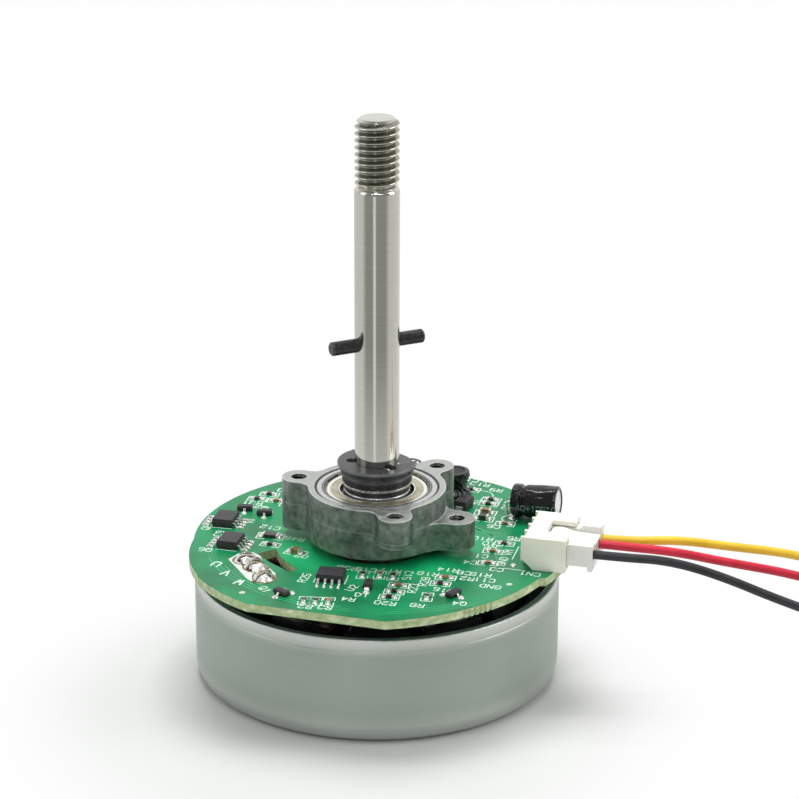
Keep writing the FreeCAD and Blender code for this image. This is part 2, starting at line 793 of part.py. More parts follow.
def board_wire():
    """Board edge: a circle at the back, a snapped-off corner at the left and a flat at the front."""
    cx, cy = BOARD_SHIFT
    right = vec(cx + BOARD_R, cy)
    back = vec(cx, cy + BOARD_R)
    left = vec(cx - BOARD_R, cy)
    left_mid = vec(-33.75, -6.0)
    notch_in = vec(-31.9, -14.2)
    notch_out = vec(*polar(BOARD_CORNER_R, -154.0))
    corner_mid = vec(*polar(BOARD_CORNER_R, -141.7))
    corner = vec(*polar(BOARD_CORNER_R, -130.0))
    front = vec(1.3, -34.5)
    front_mid = vec(17.0, -28.4)
    step_in = vec(28.6, -16.0)
    step_out = vec(29.7, -16.0)
    step_mid = vec(33.2, -9.6)
    return Part.Wire([
        Part.Arc(right, back, left).toShape(),
        Part.Arc(left, left_mid, notch_in).toShape(),
        Part.LineSegment(notch_in, notch_out).toShape(),
        Part.Arc(notch_out, corner_mid, corner).toShape(),
        Part.LineSegment(corner, front).toShape(),
        Part.Arc(front, front_mid, step_in).toShape(),
        Part.LineSegment(step_in, step_out).toShape(),
        Part.Arc(step_out, step_mid, right).toShape(),
    ])


def slot_wire():
    """Routed slot beside the winding ends: an arc round the housing, narrowed in its middle."""
    start = vec(*polar(18.4, 189.0))
    middle = vec(*polar(18.4, 204.5))
    end = vec(*polar(18.4, 220.0))
    outer_end = vec(*polar(20.5, 221.5))
    waist = vec(*polar(21.1, 205.5))
    outer_start = vec(*polar(22.1, 193.3))
    return Part.Wire([
        Part.Arc(start, middle, end).toShape(),
        Part.LineSegment(end, outer_end).toShape(),
        Part.LineSegment(outer_end, waist).toShape(),
        Part.LineSegment(waist, outer_start).toShape(),
        Part.LineSegment(outer_start, start).toShape(),
    ])


def make_board():
    low = BOARD_BOTTOM - 1
    high = BOARD_TOP + 1
    tools = [cylinder(BOARD_HOLE_R, low, high), prism(slot_wire(), low, high)]
    for x, y in post_places():
        tools.append(cylinder(PEG_R + HOLE_GAP, low, high, x, y))
    for x, y in WINDING_PLACES:
        tools.append(cylinder(WINDING_R + HOLE_GAP, low, high, x, y))
    for offset in circuit_offsets():
        x, y = header_point(-PIN_DROP, offset)
        tools.append(cylinder(PIN_SQUARE * 0.75, low, high, x, y))
    for x, y in lying_cap_lead_places():
        tools.append(cylinder(CAP_LEAD_R + HOLE_GAP, low, high, x, y))
    for i in range(BITE_COUNT):
        x, y = polar(43.7, -57.5 + 1.5 * i)
        tools.append(cylinder(BITE_R, low, high, x - 8.5, y + 7.1))
    return prism(board_wire(), BOARD_BOTTOM, BOARD_TOP).cut(tools)


# Connector
def make_header():
    """Side-entry header: open towards the plug, keyed at the top, cut back under the bent pins."""
    half = HEADER_LENGTH / 2
    shell = side_prism([
        (0, BOARD_TOP + HEADER_UNDERCUT),
        (HEADER_UNDERCUT, BOARD_TOP),
        (HEADER_DEPTH, BOARD_TOP),
        (HEADER_DEPTH, HEADER_TOP),
        (0, HEADER_TOP),
    ], -half, half)
    well = block(HEADER_BACK, HEADER_DEPTH + 1, HEADER_WALL - half, half - HEADER_WALL,
                 BOARD_TOP + HEADER_WALL, HEADER_TOP - HEADER_WALL)
    keyway = block(KEYWAY_START, HEADER_DEPTH + 1, -KEYWAY / 2, KEYWAY / 2,
                   PLUG_MIDDLE, HEADER_TOP + 1)
    body = shell.cut([well, keyway])
    ribs = []
    for i in range(CIRCUIT_COUNT + 1):
        y = (HEADER_LENGTH - 2 * RIB_R) * (i / CIRCUIT_COUNT - 0.5)
        rib = [
            (0.5, y - RIB_R),
            (0.5, y + RIB_R),
            (-RIB_REACH, y + RIB_R, RIB_ROUND),
            (-RIB_REACH, y - RIB_R, RIB_ROUND),
        ]
        ribs.append(prism(rounded_wire(rib), BOARD_TOP + HEADER_UNDERCUT, HEADER_TOP))
    holes = []
    for offset in circuit_offsets():
        reach = PIN_SQUARE / 2
        holes.append(block(-1, HEADER_BACK + 1, offset - reach, offset + reach,
                           PLUG_MIDDLE - reach, PLUG_MIDDLE + reach))
    return placed(fused([body] + ribs).cut(holes), HEADER_PLACE + (HEADER_ANGLE,))


def make_header_pins():
    """Square pins that pass the header's back and turn down through the board."""
    half = PIN_SQUARE / 2
    pins = []
    for offset in circuit_offsets():
        pin = side_prism([
            (half - PIN_DROP, PLUG_MIDDLE - half),
            (PIN_REACH, PLUG_MIDDLE - half),
            (PIN_REACH, PLUG_MIDDLE + half),
            (-half - PIN_DROP, PLUG_MIDDLE + half, 0.5),
            (-half - PIN_DROP, BOARD_BOTTOM - 1),
            (half - PIN_DROP, BOARD_BOTTOM - 1),
        ], offset - half, offset + half)
        pins.append(placed(pin, HEADER_PLACE + (HEADER_ANGLE,)))
    return pins


def make_plug():
    """Plug housing: four cavities, a trough with a latch between two top rails, and a foot at its end."""
    body = block(PLUG_START, PLUG_END, -PLUG_HALF, PLUG_HALF, PLUG_BOTTOM, PLUG_TOP)
    outside = HEADER_DEPTH + PLUG_GAP
    half = KEYWAY / 2
    front_rail = block(outside, PLUG_END, -PLUG_HALF, -half, PLUG_TOP - 1, PLUG_TOP + PLUG_FRONT_RAIL)
    back_rail = side_prism([
        (outside, PLUG_TOP - 1),
        (PLUG_END, PLUG_TOP - 1),
        (PLUG_END, PLUG_TOP + PLUG_BACK_RAIL),
        (PLUG_END - 3.2, PLUG_TOP + PLUG_BACK_RAIL),
        (PLUG_END - 4.0, PLUG_TOP),
        (outside, PLUG_TOP),
    ], half, PLUG_HALF)
    trough = block(KEYWAY_START, PLUG_END + 1, -half, half, PLUG_TOP - PLUG_TROUGH, PLUG_TOP + 1)
    latch_half = half - PLUG_GAP - 0.2
    latch = side_prism([
        (KEYWAY_START + PLUG_GAP, PLUG_TOP - PLUG_TROUGH - 0.3),
        (PLUG_END, PLUG_TOP - PLUG_TROUGH - 0.3),
        (PLUG_END, PLUG_TOP - PLUG_TROUGH + 0.1),
        (PLUG_END - 4.2, PLUG_TOP - PLUG_TROUGH + 0.2),
        (KEYWAY_START + PLUG_GAP + 1.4, PLUG_TOP + PLUG_LATCH_RISE),
        (KEYWAY_START + PLUG_GAP, PLUG_TOP + PLUG_LATCH_RISE - 0.3),
    ], -latch_half, latch_half)
    foot = block(PLUG_END - PLUG_FOOT, PLUG_END, -PLUG_HALF, PLUG_HALF,
                 PLUG_BOTTOM - PLUG_FOOT, PLUG_BOTTOM + 1)
    cavities = []
    for offset in circuit_offsets():
        reach = CAVITY / 2
        cavities.append(block(PLUG_START - 1, PLUG_END + 1, offset - reach, offset + reach,
                              PLUG_MIDDLE - reach, PLUG_MIDDLE + reach))
    plug = fused([body.cut(trough), latch, foot, front_rail, back_rail]).cut(cavities)
    return placed(plug, HEADER_PLACE + (HEADER_ANGLE,))


def make_terminals():
    """Crimped contacts in the wired cavities: a box that the pin enters and a closed barrel."""
    contacts = []
    offsets = circuit_offsets()
    for circuit in WIRED_CIRCUITS.values():
        half = CAVITY / 2 - RUNNING_GAP
        middle = (TERMINAL_START + TERMINAL_END) / 2 + 0.6
        box = block(TERMINAL_START, middle, -half, half, -half, half)
        mouth = half - 0.35
        slot = block(TERMINAL_START - 1, middle - 0.4, -mouth, mouth, -mouth, mouth)
        barrel = Part.makeCylinder(half * 0.8, TERMINAL_END - middle + 0.2, vec(middle - 0.2, 0), vec(1, 0))
        contact = fused([box.cut(slot), barrel])
        contact.translate(vec(0, offsets[circuit], PLUG_MIDDLE))
        contacts.append(placed(contact, HEADER_PLACE + (HEADER_ANGLE,)))
    return contacts


def wire_points(colour, route):
    """Lead from the back of its contact, straight out of the plug and along its route."""
    offset = circuit_offsets()[WIRED_CIRCUITS[colour]]
    start = header_point(TERMINAL_END, offset) + (PLUG_MIDDLE,)
    bend = header_point(TERMINAL_END + LEAD_STRAIGHT, offset) + (PLUG_MIDDLE,)
    return [start, bend] + route


def make_tip(points):
    """Tinned strands that stand out of a lead's far end."""
    end = vec(*points[-1])
    direction = end - vec(*points[-2])
    return Part.makeCylinder(TIP_R, TIP_LENGTH, end, direction)


# Capacitors
def can_profile(radius, length, slack):
    """Turned outline of a capacitor with its rolled groove near the lead end."""
    groove = CAP_GROOVE_FROM_END
    return [
        (0, slack),
        (radius, slack, 0.25),
        (radius, groove - CAP_GROOVE),
        (radius - CAP_GROOVE, groove),
        (radius, groove + CAP_GROOVE),
        (radius, length - slack, 0.45),
        (0, length - slack),
    ]


def capacitor_pieces(radius, length):
    """Can and its shrunk sleeve, standing on the lead end at z = 0."""
    can = turned(can_profile(radius - SLEEVE, length, SLEEVE))
    sleeve = turned(can_profile(radius, length, 0))
    window = radius - 0.8
    through = cylinder(window, -1, length + 1)
    return can, sleeve.cut([can, through])


def choke_profile(skin):
    """Turned outline of the drum core: foot, waist and head; skin is what the sleeve takes off it."""
    waist_low = CHOKE_FLANGE + CHOKE_TAPER
    waist_high = CHOKE_HEIGHT - CHOKE_FLANGE - CHOKE_TAPER
    return [
        (0, skin),
        (CHOKE_FOOT_R - skin, skin, 0.25),
        (CHOKE_FOOT_R - skin, CHOKE_FLANGE, 0.3),
        (CHOKE_WAIST_R - skin, waist_low, 0.3),
        (CHOKE_WAIST_R - skin, waist_high, 0.3),
        (CHOKE_HEAD_R - skin, CHOKE_HEIGHT - CHOKE_FLANGE, 0.3),
        (CHOKE_HEAD_R - skin, CHOKE_HEIGHT - skin, 0.25),
        (0, CHOKE_HEIGHT - skin),
    ]


def lie_down(shape):
    """Lay a standing capacitor along X on the board, its lead end first, and turn it to its place."""
    copy = shape.copy()
    copy.rotate(ORIGIN, vec(0, 1), 90 - LYING_CAP_TILT)
    copy.translate(vec(-LYING_CAP_LENGTH / 2, 0, lying_cap_height()))
    return placed(copy, LYING_CAP_PLACE + (LYING_CAP_ANGLE,))


def lying_cap_height():
    """Height of the lead end's centre, whose lowest point is on the board."""
    return BOARD_TOP + LYING_CAP_R * math.cos(math.radians(LYING_CAP_TILT))


def lying_cap_point(x, y):
    dx, dy = polar(x, LYING_CAP_ANGLE)
    ex, ey = polar(y, LYING_CAP_ANGLE + 90)
    return LYING_CAP_PLACE[0] + dx + ex, LYING_CAP_PLACE[1] + dy + ey


def lying_cap_lead_places():
    """Board holes of the lying capacitor's two leads."""
    x = -LYING_CAP_LENGTH / 2 - 1.0
    return [lying_cap_point(x, side * CAP_LEAD_SPACING / 2) for side in (-1, 1)]


def make_cap_leads(can):
    """Leads that leave the lying can's end and turn down through the board."""
    leads = []
    height = lying_cap_height()
    for side, (x, y) in zip((-1, 1), lying_cap_lead_places()):
        start = lying_cap_point(SLEEVE - LYING_CAP_LENGTH / 2, side * CAP_LEAD_SPACING / 2)
        tube, _, _ = pipe([start + (height,), (x, y, height), (x, y, BOARD_BOTTOM - 0.8)], CAP_LEAD_R)
        leads.append(tube.cut(can))
    return leads


# Small parts
def moulded_body(length, width, height):
    """Chip package on its standoff, with a slight taper above and below its parting line."""
    low = BOARD_TOP + STANDOFF
    high = BOARD_TOP + height
    middle = (low + high) / 2
    taper = 0.12
    halves = []
    for near, far in ((low, middle), (high, middle)):
        small = rectangle_wire(length - 2 * taper, width - 2 * taper, near)
        large = rectangle_wire(length, width, far)
        halves.append(Part.makeLoft([small, large], True, True))
    return fused(halves)


def rectangle_wire(length, width, height):
    half_l = length / 2
    half_w = width / 2
    corners = [(-half_w, -half_l), (half_w, -half_l), (half_w, half_l), (-half_w, half_l)]
    spots = [vec(x, y, height) for x, y in corners]
    return Part.makePolygon(spots + spots[:1])


def gull_lead(start, y, width, height, reach):
    """Bent lead from a package side to its foot on the board."""
    knee = BOARD_TOP + height
    foot = BOARD_TOP
    thick = LEAD_THICKNESS
    return side_prism([
        (start, knee),
        (start + 0.35 * reach, knee),
        (start + 0.6 * reach, foot + thick),
        (start + reach, foot + thick),
        (start + reach, foot),
        (start + 0.5 * reach, foot),
        (start + 0.25 * reach, knee - thick),
        (start, knee - thick),
    ], y - width / 2, y + width / 2)


def lead_rows(count, pitch, half_width, width, height, reach, sides=(0, 180)):
    """Leads along one or both long sides of a package."""
    leads = []
    for side in sides:
        for i in range(count):
            lead = gull_lead(half_width, pitch * (i - (count - 1) / 2), width, height, reach)
            leads.append(placed(lead, (0, 0, side)))
    return leads


def at_places(shapes, places):
    return [placed(shape, place) for place in places for shape in shapes]


def turned_sideways(places):
    """Places whose direction is the package's length, made into directions of its leads."""
    return [(x, y, angle + 90) for x, y, angle in places]


def box_part(size, places):
    """Ceramic bodies of chip parts between their metal ends."""
    length, width, height = size
    body = centred_block(length - 2 * CAP_END, width, BOARD_TOP, BOARD_TOP + height)
    return at_places([body], places)


def end_caps(size, places):
    """Solderable ends of chip parts."""
    length, width, height = size
    inside = length / 2 - CAP_END
    caps = [
        block(inside, length / 2, -width / 2, width / 2, BOARD_TOP, BOARD_TOP + height),
        block(-length / 2, -inside, -width / 2, width / 2, BOARD_TOP, BOARD_TOP + height),
    ]
    return at_places(caps, places)


def make_solder_joint(place):
    """Solder dome round a winding end."""
    dome = turned([
        (WINDING_R, 0),
        (SOLDER_R, 0),
        (SOLDER_R * 0.82, SOLDER_HEIGHT * 0.6, 0.25),
        (WINDING_R, SOLDER_HEIGHT),
    ])
    dome.translate(vec(place[0], place[1], BOARD_TOP))
    return dome


def build_rotor():
    save("shaft", make_shaft())
    save("cross_pin", make_cross_pin())
    save("e_clip", make_clip())
    bore = SHAFT_R + RUNNING_GAP
    save("upper_washer", ring(UPPER_WASHER_R, bore, LOWER_WASHER_TOP, UPPER_WASHER_TOP, 0.25))
    save("lower_washer", ring(LOWER_WASHER_R, bore, SHIM_TOP, LOWER_WASHER_TOP, 0.25))
    save("steel_shim", ring(SHIM_R, bore, SPACER_TOP, SHIM_TOP, 0.08))
    save("spacer_ring", ring(SPACER_R, bore, UPPER_TOP, SPACER_TOP, 0.1))
    save("rotor_can", make_can())
    save("rotor_hub", make_hub())
    save("magnet_ring", ring(CAN_INSIDE_R, MAGNET_INSIDE_R, MAGNET_BOTTOM, MAGNET_TOP))


def build_bearings():
    save("upper_outer_ring", outer_race(UPPER_R, UPPER_RING_WALL, UPPER_SEAT, UPPER_WIDTH,
                                        UPPER_PITCH_R, UPPER_BALL_R))
    save("upper_inner_ring", inner_race(UPPER_INNER_WALL, UPPER_SEAT, UPPER_WIDTH,
                                        UPPER_PITCH_R, UPPER_BALL_R))
    save("lower_outer_ring", outer_race(LOWER_R, LOWER_RING_WALL, LOWER_SEAT, LOWER_WIDTH,
                                        LOWER_PITCH_R, LOWER_BALL_R))
    save("lower_inner_ring", inner_race(LOWER_INNER_WALL, LOWER_SEAT, LOWER_WIDTH,
                                        LOWER_PITCH_R, LOWER_BALL_R))
    upper_middle = UPPER_SEAT + UPPER_WIDTH / 2
    lower_middle = LOWER_SEAT + LOWER_WIDTH / 2
    save("upper_balls", *balls(UPPER_PITCH_R, UPPER_BALL_R, UPPER_BALL_COUNT, upper_middle))
    save("lower_balls", *balls(LOWER_PITCH_R, LOWER_BALL_R, LOWER_BALL_COUNT, lower_middle))
    save("upper_cage", cage(UPPER_PITCH_R, UPPER_BALL_R, UPPER_BALL_COUNT, upper_middle, 0.5))
    save("lower_cage", cage(LOWER_PITCH_R, LOWER_BALL_R, LOWER_BALL_COUNT, lower_middle, 0.25))
    rebate = SHIELD_DEPTH * UPPER_WIDTH
    upper_faces = ((UPPER_TOP - rebate, -1), (UPPER_SEAT + rebate, 1))
    save("upper_bearing_shields", *[shield(UPPER_R, UPPER_RING_WALL, UPPER_INNER_WALL, z,
                                           UPPER_SHIELD, facing) for z, facing in upper_faces])
    wire_lift = UPPER_SHIELD + SNAP_WIRE_R - rebate
    save("shield_snap_rings", snap_ring(UPPER_TOP + wire_lift), snap_ring(UPPER_SEAT - wire_lift))
    rebate = SHIELD_DEPTH * LOWER_WIDTH
    lower_faces = ((LOWER_TOP - rebate, -1), (LOWER_SEAT + rebate, 1))
    save("lower_bearing_shields", *[shield(LOWER_R, LOWER_RING_WALL, LOWER_INNER_WALL, z,
                                           LOWER_SHIELD, facing) for z, facing in lower_faces])


def build_stator():
    save("bearing_housing", make_housing())
    save("stator_core", make_core())
    save("upper_insulator", make_upper_insulator())
    save("lower_insulator", make_insulator(CORE_BOTTOM, -1))
    save("stator_coils", *around(make_coil(), TOOTH_COUNT))
    coil_top = CORE_TOP + INSULATOR_PLATE + COIL_END_TURN + RUNNING_GAP
    save("winding_leads", *[cylinder(WINDING_R, coil_top, BOARD_TOP + SOLDER_HEIGHT, x, y)
                            for x, y in WINDING_PLACES])


def build_board():
    save("circuit_board", make_board())
    save("solder_joints", *[make_solder_joint(place) for place in WINDING_PLACES])
    sensor = centred_block(SOT_LENGTH, SOT_WIDTH, BOARD_BOTTOM - SOT_HEIGHT, BOARD_BOTTOM)
    save("hall_sensors", *[placed(sensor, polar(HALL_REACH, angle) + (angle + 90,))
                           for angle in HALL_ANGLES])
    so_body = moulded_body(SO_LENGTH, SO_WIDTH, SO_HEIGHT)
    save("mosfet_chips", *at_places([so_body], MOSFET_PLACES))
    so_leads = lead_rows(4, SO_PITCH, SO_WIDTH / 2, LEAD_WIDTH, 0.85, LEAD_REACH)
    save("mosfet_leads", *at_places(so_leads, MOSFET_PLACES))
    controller = moulded_body(CONTROLLER_LENGTH, CONTROLLER_WIDTH, CONTROLLER_HEIGHT)
    save("controller_chip", placed(controller, CONTROLLER_PLACE))
    controller_leads = lead_rows(CONTROLLER_PIN_COUNT, CONTROLLER_PITCH, CONTROLLER_WIDTH / 2, 0.25, 0.6, 1.0)
    save("controller_leads", *at_places(controller_leads, [CONTROLLER_PLACE]))
    sot_body = moulded_body(SOT_LENGTH, SOT_WIDTH, SOT_HEIGHT)
    sot_places = turned_sideways(TRANSISTOR_PLACES)
    save("transistors", *at_places([sot_body], sot_places))
    sot_leads = lead_rows(2, SOT_PITCH, SOT_WIDTH / 2, LEAD_WIDTH, 0.65, 0.7, (180,))
    sot_leads += lead_rows(1, SOT_PITCH, SOT_WIDTH / 2, LEAD_WIDTH, 0.65, 0.7, (0,))
    save("transistor_leads", *at_places(sot_leads, sot_places))
    bodies = []
    leads = []
    for size, place in ((SURGE_DIODE_SIZE, SURGE_DIODE_PLACE), (SMALL_DIODE_SIZE, SMALL_DIODE_PLACE)):
        length, width, height = size
        bodies.append(placed(moulded_body(width, length, height), place))
        for lead in lead_rows(1, 1.0, length / 2, width * 0.55, height * 0.55, 0.9):
            leads.append(placed(lead, place))
    save("diodes", *bodies)
    save("diode_leads", *leads)


def build_chips():
    resistors = box_part(CHIP_SIZE, RESISTOR_PLACES)
    resistors += box_part(LARGE_CHIP_SIZE, LARGE_RESISTOR_PLACES)
    resistors += box_part(SHUNT_SIZE, SHUNT_PLACES)
    save("chip_resistors", *resistors)
    capacitors = box_part(CHIP_SIZE, CAPACITOR_PLACES)
    capacitors += box_part(LARGE_CHIP_SIZE, LARGE_CAPACITOR_PLACES)
    save("chip_capacitors", *capacitors)
    ends = end_caps(CHIP_SIZE, RESISTOR_PLACES + CAPACITOR_PLACES)
    ends += end_caps(LARGE_CHIP_SIZE, LARGE_RESISTOR_PLACES + LARGE_CAPACITOR_PLACES)
    ends += end_caps(SHUNT_SIZE, SHUNT_PLACES)
    save("chip_end_caps", *ends)


def build_capacitors():
    can, sleeve = capacitor_pieces(LYING_CAP_R, LYING_CAP_LENGTH)
    lying_can = lie_down(can)
    save("lying_capacitor_can", lying_can)
    save("lying_capacitor_sleeve", lie_down(sleeve))
    save("lying_capacitor_leads", *make_cap_leads(lying_can))
    can, sleeve = capacitor_pieces(UPRIGHT_CAP_R, UPRIGHT_CAP_HEIGHT)
    for name, piece in (("upright_capacitor_can", can), ("upright_capacitor_sleeve", sleeve)):
        piece.translate(vec(*UPRIGHT_CAP_PLACE, BOARD_TOP))
        save(name, piece)
    core = turned(choke_profile(CHOKE_SLEEVE))
    sleeve = turned(choke_profile(0)).cut([core, cylinder(CHOKE_HEAD_R - 0.9, -1, CHOKE_HEIGHT + 1)])
    for name, piece in (("choke_core", core), ("choke_sleeve", sleeve)):
        piece.translate(vec(*CHOKE_PLACE, BOARD_TOP))
        save(name, piece)


def build_connector():
    save("connector_header", make_header())
    save("header_pins", *make_header_pins())
    save("plug_housing", make_plug())
    save("crimp_terminals", *make_terminals())
    tips = []
    for colour, route in (("black", BLACK_ROUTE), ("red", RED_ROUTE), ("yellow", YELLOW_ROUTE)):
        points = wire_points(colour, route)
        tube, radius, length = pipe(points, WIRE_R)
        ratio = tube.Volume / (math.pi * WIRE_R ** 2 * length)
        print(colour, "lead: smallest arc", round(radius, 1), "length", round(length, 1),
              "volume ratio", round(ratio, 4))
        save(colour + "_wire", tube)
        tips.append(make_tip(points))
    save("wire_tips", *tips)


os.makedirs("parts", exist_ok=True)
build_rotor()
build_bearings()
build_stator()
build_board()
build_chips()
build_capacitors()
build_connector()
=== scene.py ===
# %% [markdown]
# # A brushless fan motor with its driver board
# This lesson dresses the plain solids of a small outer-rotor motor. The solids give every size and
# place. What they lack is what this file adds: the screw thread, solder, printed board marks, strands
# of wire and the finish of each metal and plastic. New shapes are surfaces worked out as whole arrays
# with numpy.

# %% Load the solids
import bpy
import bmesh
import math
import numpy as np
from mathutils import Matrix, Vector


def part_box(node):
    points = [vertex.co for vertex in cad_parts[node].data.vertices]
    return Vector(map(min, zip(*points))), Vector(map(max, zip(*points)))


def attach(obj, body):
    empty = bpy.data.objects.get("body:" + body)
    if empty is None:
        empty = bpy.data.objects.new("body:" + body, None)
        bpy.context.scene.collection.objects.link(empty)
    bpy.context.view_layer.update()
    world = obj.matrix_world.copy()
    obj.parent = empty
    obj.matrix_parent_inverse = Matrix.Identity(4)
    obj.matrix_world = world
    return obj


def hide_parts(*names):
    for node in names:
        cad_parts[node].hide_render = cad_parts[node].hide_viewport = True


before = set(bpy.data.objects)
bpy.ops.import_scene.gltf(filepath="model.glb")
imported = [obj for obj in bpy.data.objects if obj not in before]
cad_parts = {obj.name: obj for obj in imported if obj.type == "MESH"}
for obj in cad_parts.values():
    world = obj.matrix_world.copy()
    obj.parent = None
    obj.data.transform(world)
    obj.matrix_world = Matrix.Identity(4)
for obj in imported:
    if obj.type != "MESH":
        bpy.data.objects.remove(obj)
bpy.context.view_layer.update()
scene = bpy.context.scene
MM = 0.001

# %% [markdown]
# ## Camera
# The photograph looks down at the motor by 20 degrees from half a metre away, through a long lens. A
# long lens keeps the can's two sides nearly upright. The small sideways shift puts the shaft left of
# the middle.

# %% Place the camera
CAMERA_TILT = 0.349
camera_data = bpy.data.cameras.new("camera")
camera_data.lens = 131.38
camera_data.sensor_width = 36.0
camera_data.shift_x = 0.0281
camera_data.clip_start = 0.01
camera_data.clip_end = 20.0
camera = bpy.data.objects.new("camera", camera_data)
camera.location = (0.0, -0.4881, 0.22966)
camera.rotation_euler = (math.pi / 2 - CAMERA_TILT, 0.0, 0.0)
scene.collection.objects.link(camera)
scene.camera = camera
print("camera tilt in degrees:", round(math.degrees(CAMERA_TILT), 1))

# %% [markdown]
# ## Colours and finishes
# Colours are read off the photograph as screen values from 0 to 255, but a shader wants linear light,
# so one small function converts them. A flat colour looks like a toy, so each finish wanders between a
# deep and a pale tone with a noise, and a finer noise lifts the surface by a few hundredths of a
# millimetre. The noise reads object coordinates, so that it stays on its piece when that piece turns.
# It can be stretched: a long stretch gives rolling or grinding lines.

# %% Turn screen colours into linear light
def shade(red, green, blue):
    """Each channel c of 0 to 255 becomes ((c / 255 + 0.055) / 1.055) to the power 2.4."""
    channels = (np.array([red, green, blue]) / 255 + 0.055) / 1.055
    return tuple(float(v) for v in channels ** 2.4) + (1.0,)


print("mid grey of the screen in linear light:", [round(v, 3) for v in shade(128, 128, 128)])

# %% [markdown]
# A finish is a small network of shader nodes. It could be wired by hand in the shader editor, but a few
# helpers write it in fewer lines: one feeds an input, one adds a node with its settings and inputs, and
# the others are the handful of networks that every finish needs, such as a noise or a distance.

# %% Wire shader nodes
def feed(tree, slot, value):
    """Gives a node's input a plain value or the output of another node."""
    if isinstance(value, bpy.types.NodeSocket):
        tree.links.new(value, slot)
    else:
        slot.default_value = value


def node(tree, kind, *values, **named):
    """Adds a node: words in small letters are its settings, the others its inputs ("_" is a space)."""
    made = tree.nodes.new("ShaderNode" + kind)
    for word, value in named.items():
        if word.islower():
            setattr(made, word, value)
        else:
            feed(tree, made.inputs[word.replace("_", " ")], value)
    for slot, value in zip(made.inputs, values):
        feed(tree, slot, value)
    return made


def own_place(tree):
    """The shaded point in the object's own coordinates, in metres."""
    return node(tree, "TexCoord").outputs["Object"]


def split(tree, vector):
    """A vector's three parts, by their letters."""
    return node(tree, "SeparateXYZ", vector).outputs


def sum_of(tree, operation, *values):
    """One sum: each value is a number or another node's output."""
    return node(tree, "Math", *values, operation=operation).outputs["Value"]


def distance(tree, scale=(1, 1, 1), shift=(0, 0, 0)):
    """Distance = length of (own place * scale + shift)."""
    spot = node(tree, "VectorMath", own_place(tree), scale, shift, operation="MULTIPLY_ADD")
    return node(tree, "VectorMath", spot.outputs["Vector"], operation="LENGTH").outputs["Value"]


def noise(tree, size, stretch=(1, 1, 1), detail=3.0, roughness=0.55):
    """Noise whose lumps are about size millimetres across, longer where stretch is below one."""
    mapping = node(tree, "Mapping", Vector=own_place(tree), Scale=stretch)
    return node(tree, "TexNoise", Vector=mapping.outputs["Vector"], Scale=1 / (size * MM),
                Detail=detail, Roughness=roughness).outputs["Fac"]


def ramp(tree, value, stops):
    """A colour ramp through (position, colour) stops."""
    made = node(tree, "ValToRGB", Fac=value)
    colours = made.color_ramp.elements
    colours[0].position, colours[0].color = stops[0]
    colours[1].position, colours[1].color = stops[-1]
    for position, colour in stops[1:-1]:
        colours.new(position).color = colour
    return made.outputs["Color"]


def spread(tree, value, low, high):
    """Maps the middle part of a noise onto low to high."""
    return node(tree, "MapRange", Value=value, From_Min=0.3, From_Max=0.7, To_Min=low,
                To_Max=high).outputs["Result"]


# %% [markdown]
# One function builds every finish of this motor, so that all of them are worked out alike: the same
# noise drives colour and roughness, because on a real surface a stain is dull as well as dark. A second
# colour can be laid over the first one: wear, a machined face, painted highlights and painted shade.

# %% Build a finish from two tones, a grain and a lift
def socket(shader, **values):
    """Sets the shader's own sockets; an underscore in a word stands for a space."""
    for word, value in values.items():
        shader.inputs[word.replace("_", " ")].default_value = value


def shader_of(material):
    """The material's node tree and its main shader."""
    return material.node_tree, material.node_tree.nodes["Principled BSDF"]


def new_material(name):
    """An empty material with its node tree and its main shader."""
    material = bpy.data.materials.new(name)
    material.use_nodes = True
    return material, *shader_of(material)


def finish(name, deep, pale, rough, size=3.0, stretch=(1, 1, 1), lift=0.01, lift_size=0.4,
           lift_stretch=None, edge=0.0, **values):
    """Finish that runs from deep to pale, with a roughness range, a lift in mm and soft edges."""
    material, tree, shader = new_material(name)
    tone = noise(tree, size, stretch)
    colour = ramp(tree, tone, [(0.32, shade(*deep)), (0.68, shade(*pale))])
    feed(tree, shader.inputs["Base Color"], colour)
    feed(tree, shader.inputs["Roughness"], spread(tree, tone, *rough))
    grain = noise(tree, lift_size, lift_stretch or stretch, 2.0)
    bump = node(tree, "Bump", Strength=1.0, Distance=lift * MM, Height=grain)
    feed(tree, shader.inputs["Normal"], bump.outputs["Normal"])
    if edge:
        bevel = node(tree, "Bevel", samples=4, Radius=edge * MM)
        feed(tree, bump.inputs["Normal"], bevel.outputs["Normal"])
    socket(shader, **values)
    return material


def lay_over(material, share, colour):
    """Mixes a colour over a finish's tone by a share from 0 to 1."""
    tree, shader = shader_of(material)
    base = shader.inputs["Base Color"]
    mix = node(tree, "Mix", data_type="RGBA", Factor=share, A=base.links[0].from_socket, B=colour)
    feed(tree, base, mix.outputs["Result"])


def wear(material, *solids):
    """Gives a finish to solids that stay as they are."""
    for name in solids:
        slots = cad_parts[name].data.materials
        slots.clear()
        slots.append(material)


# %% [markdown]
# ## The three leads
# Each lead is a soft copper strand in a 1.6 mm sleeve. It leaves the plug level, sinks to the table in
# one long sag and then wanders. A smooth spline that hangs on listed control points does this
# better than a simulation, because the leads fan out in the photograph and cross its right edge at
# known heights.

# %% Draw the leads
sleeves = {"black": finish("sleeve_black", (30, 30, 34), (48, 48, 52), (0.35, 0.5), 6,
                           Specular_IOR_Level=0.45)}
for colour, deep, pale in (("red", (178, 16, 44), (206, 30, 60)),
                           ("yellow", (214, 172, 34), (236, 200, 58))):
    sleeves[colour] = finish("sleeve_" + colour, deep, pale, (0.32, 0.48), 6, Specular_IOR_Level=0.5,
                             Subsurface_Weight=0.05)

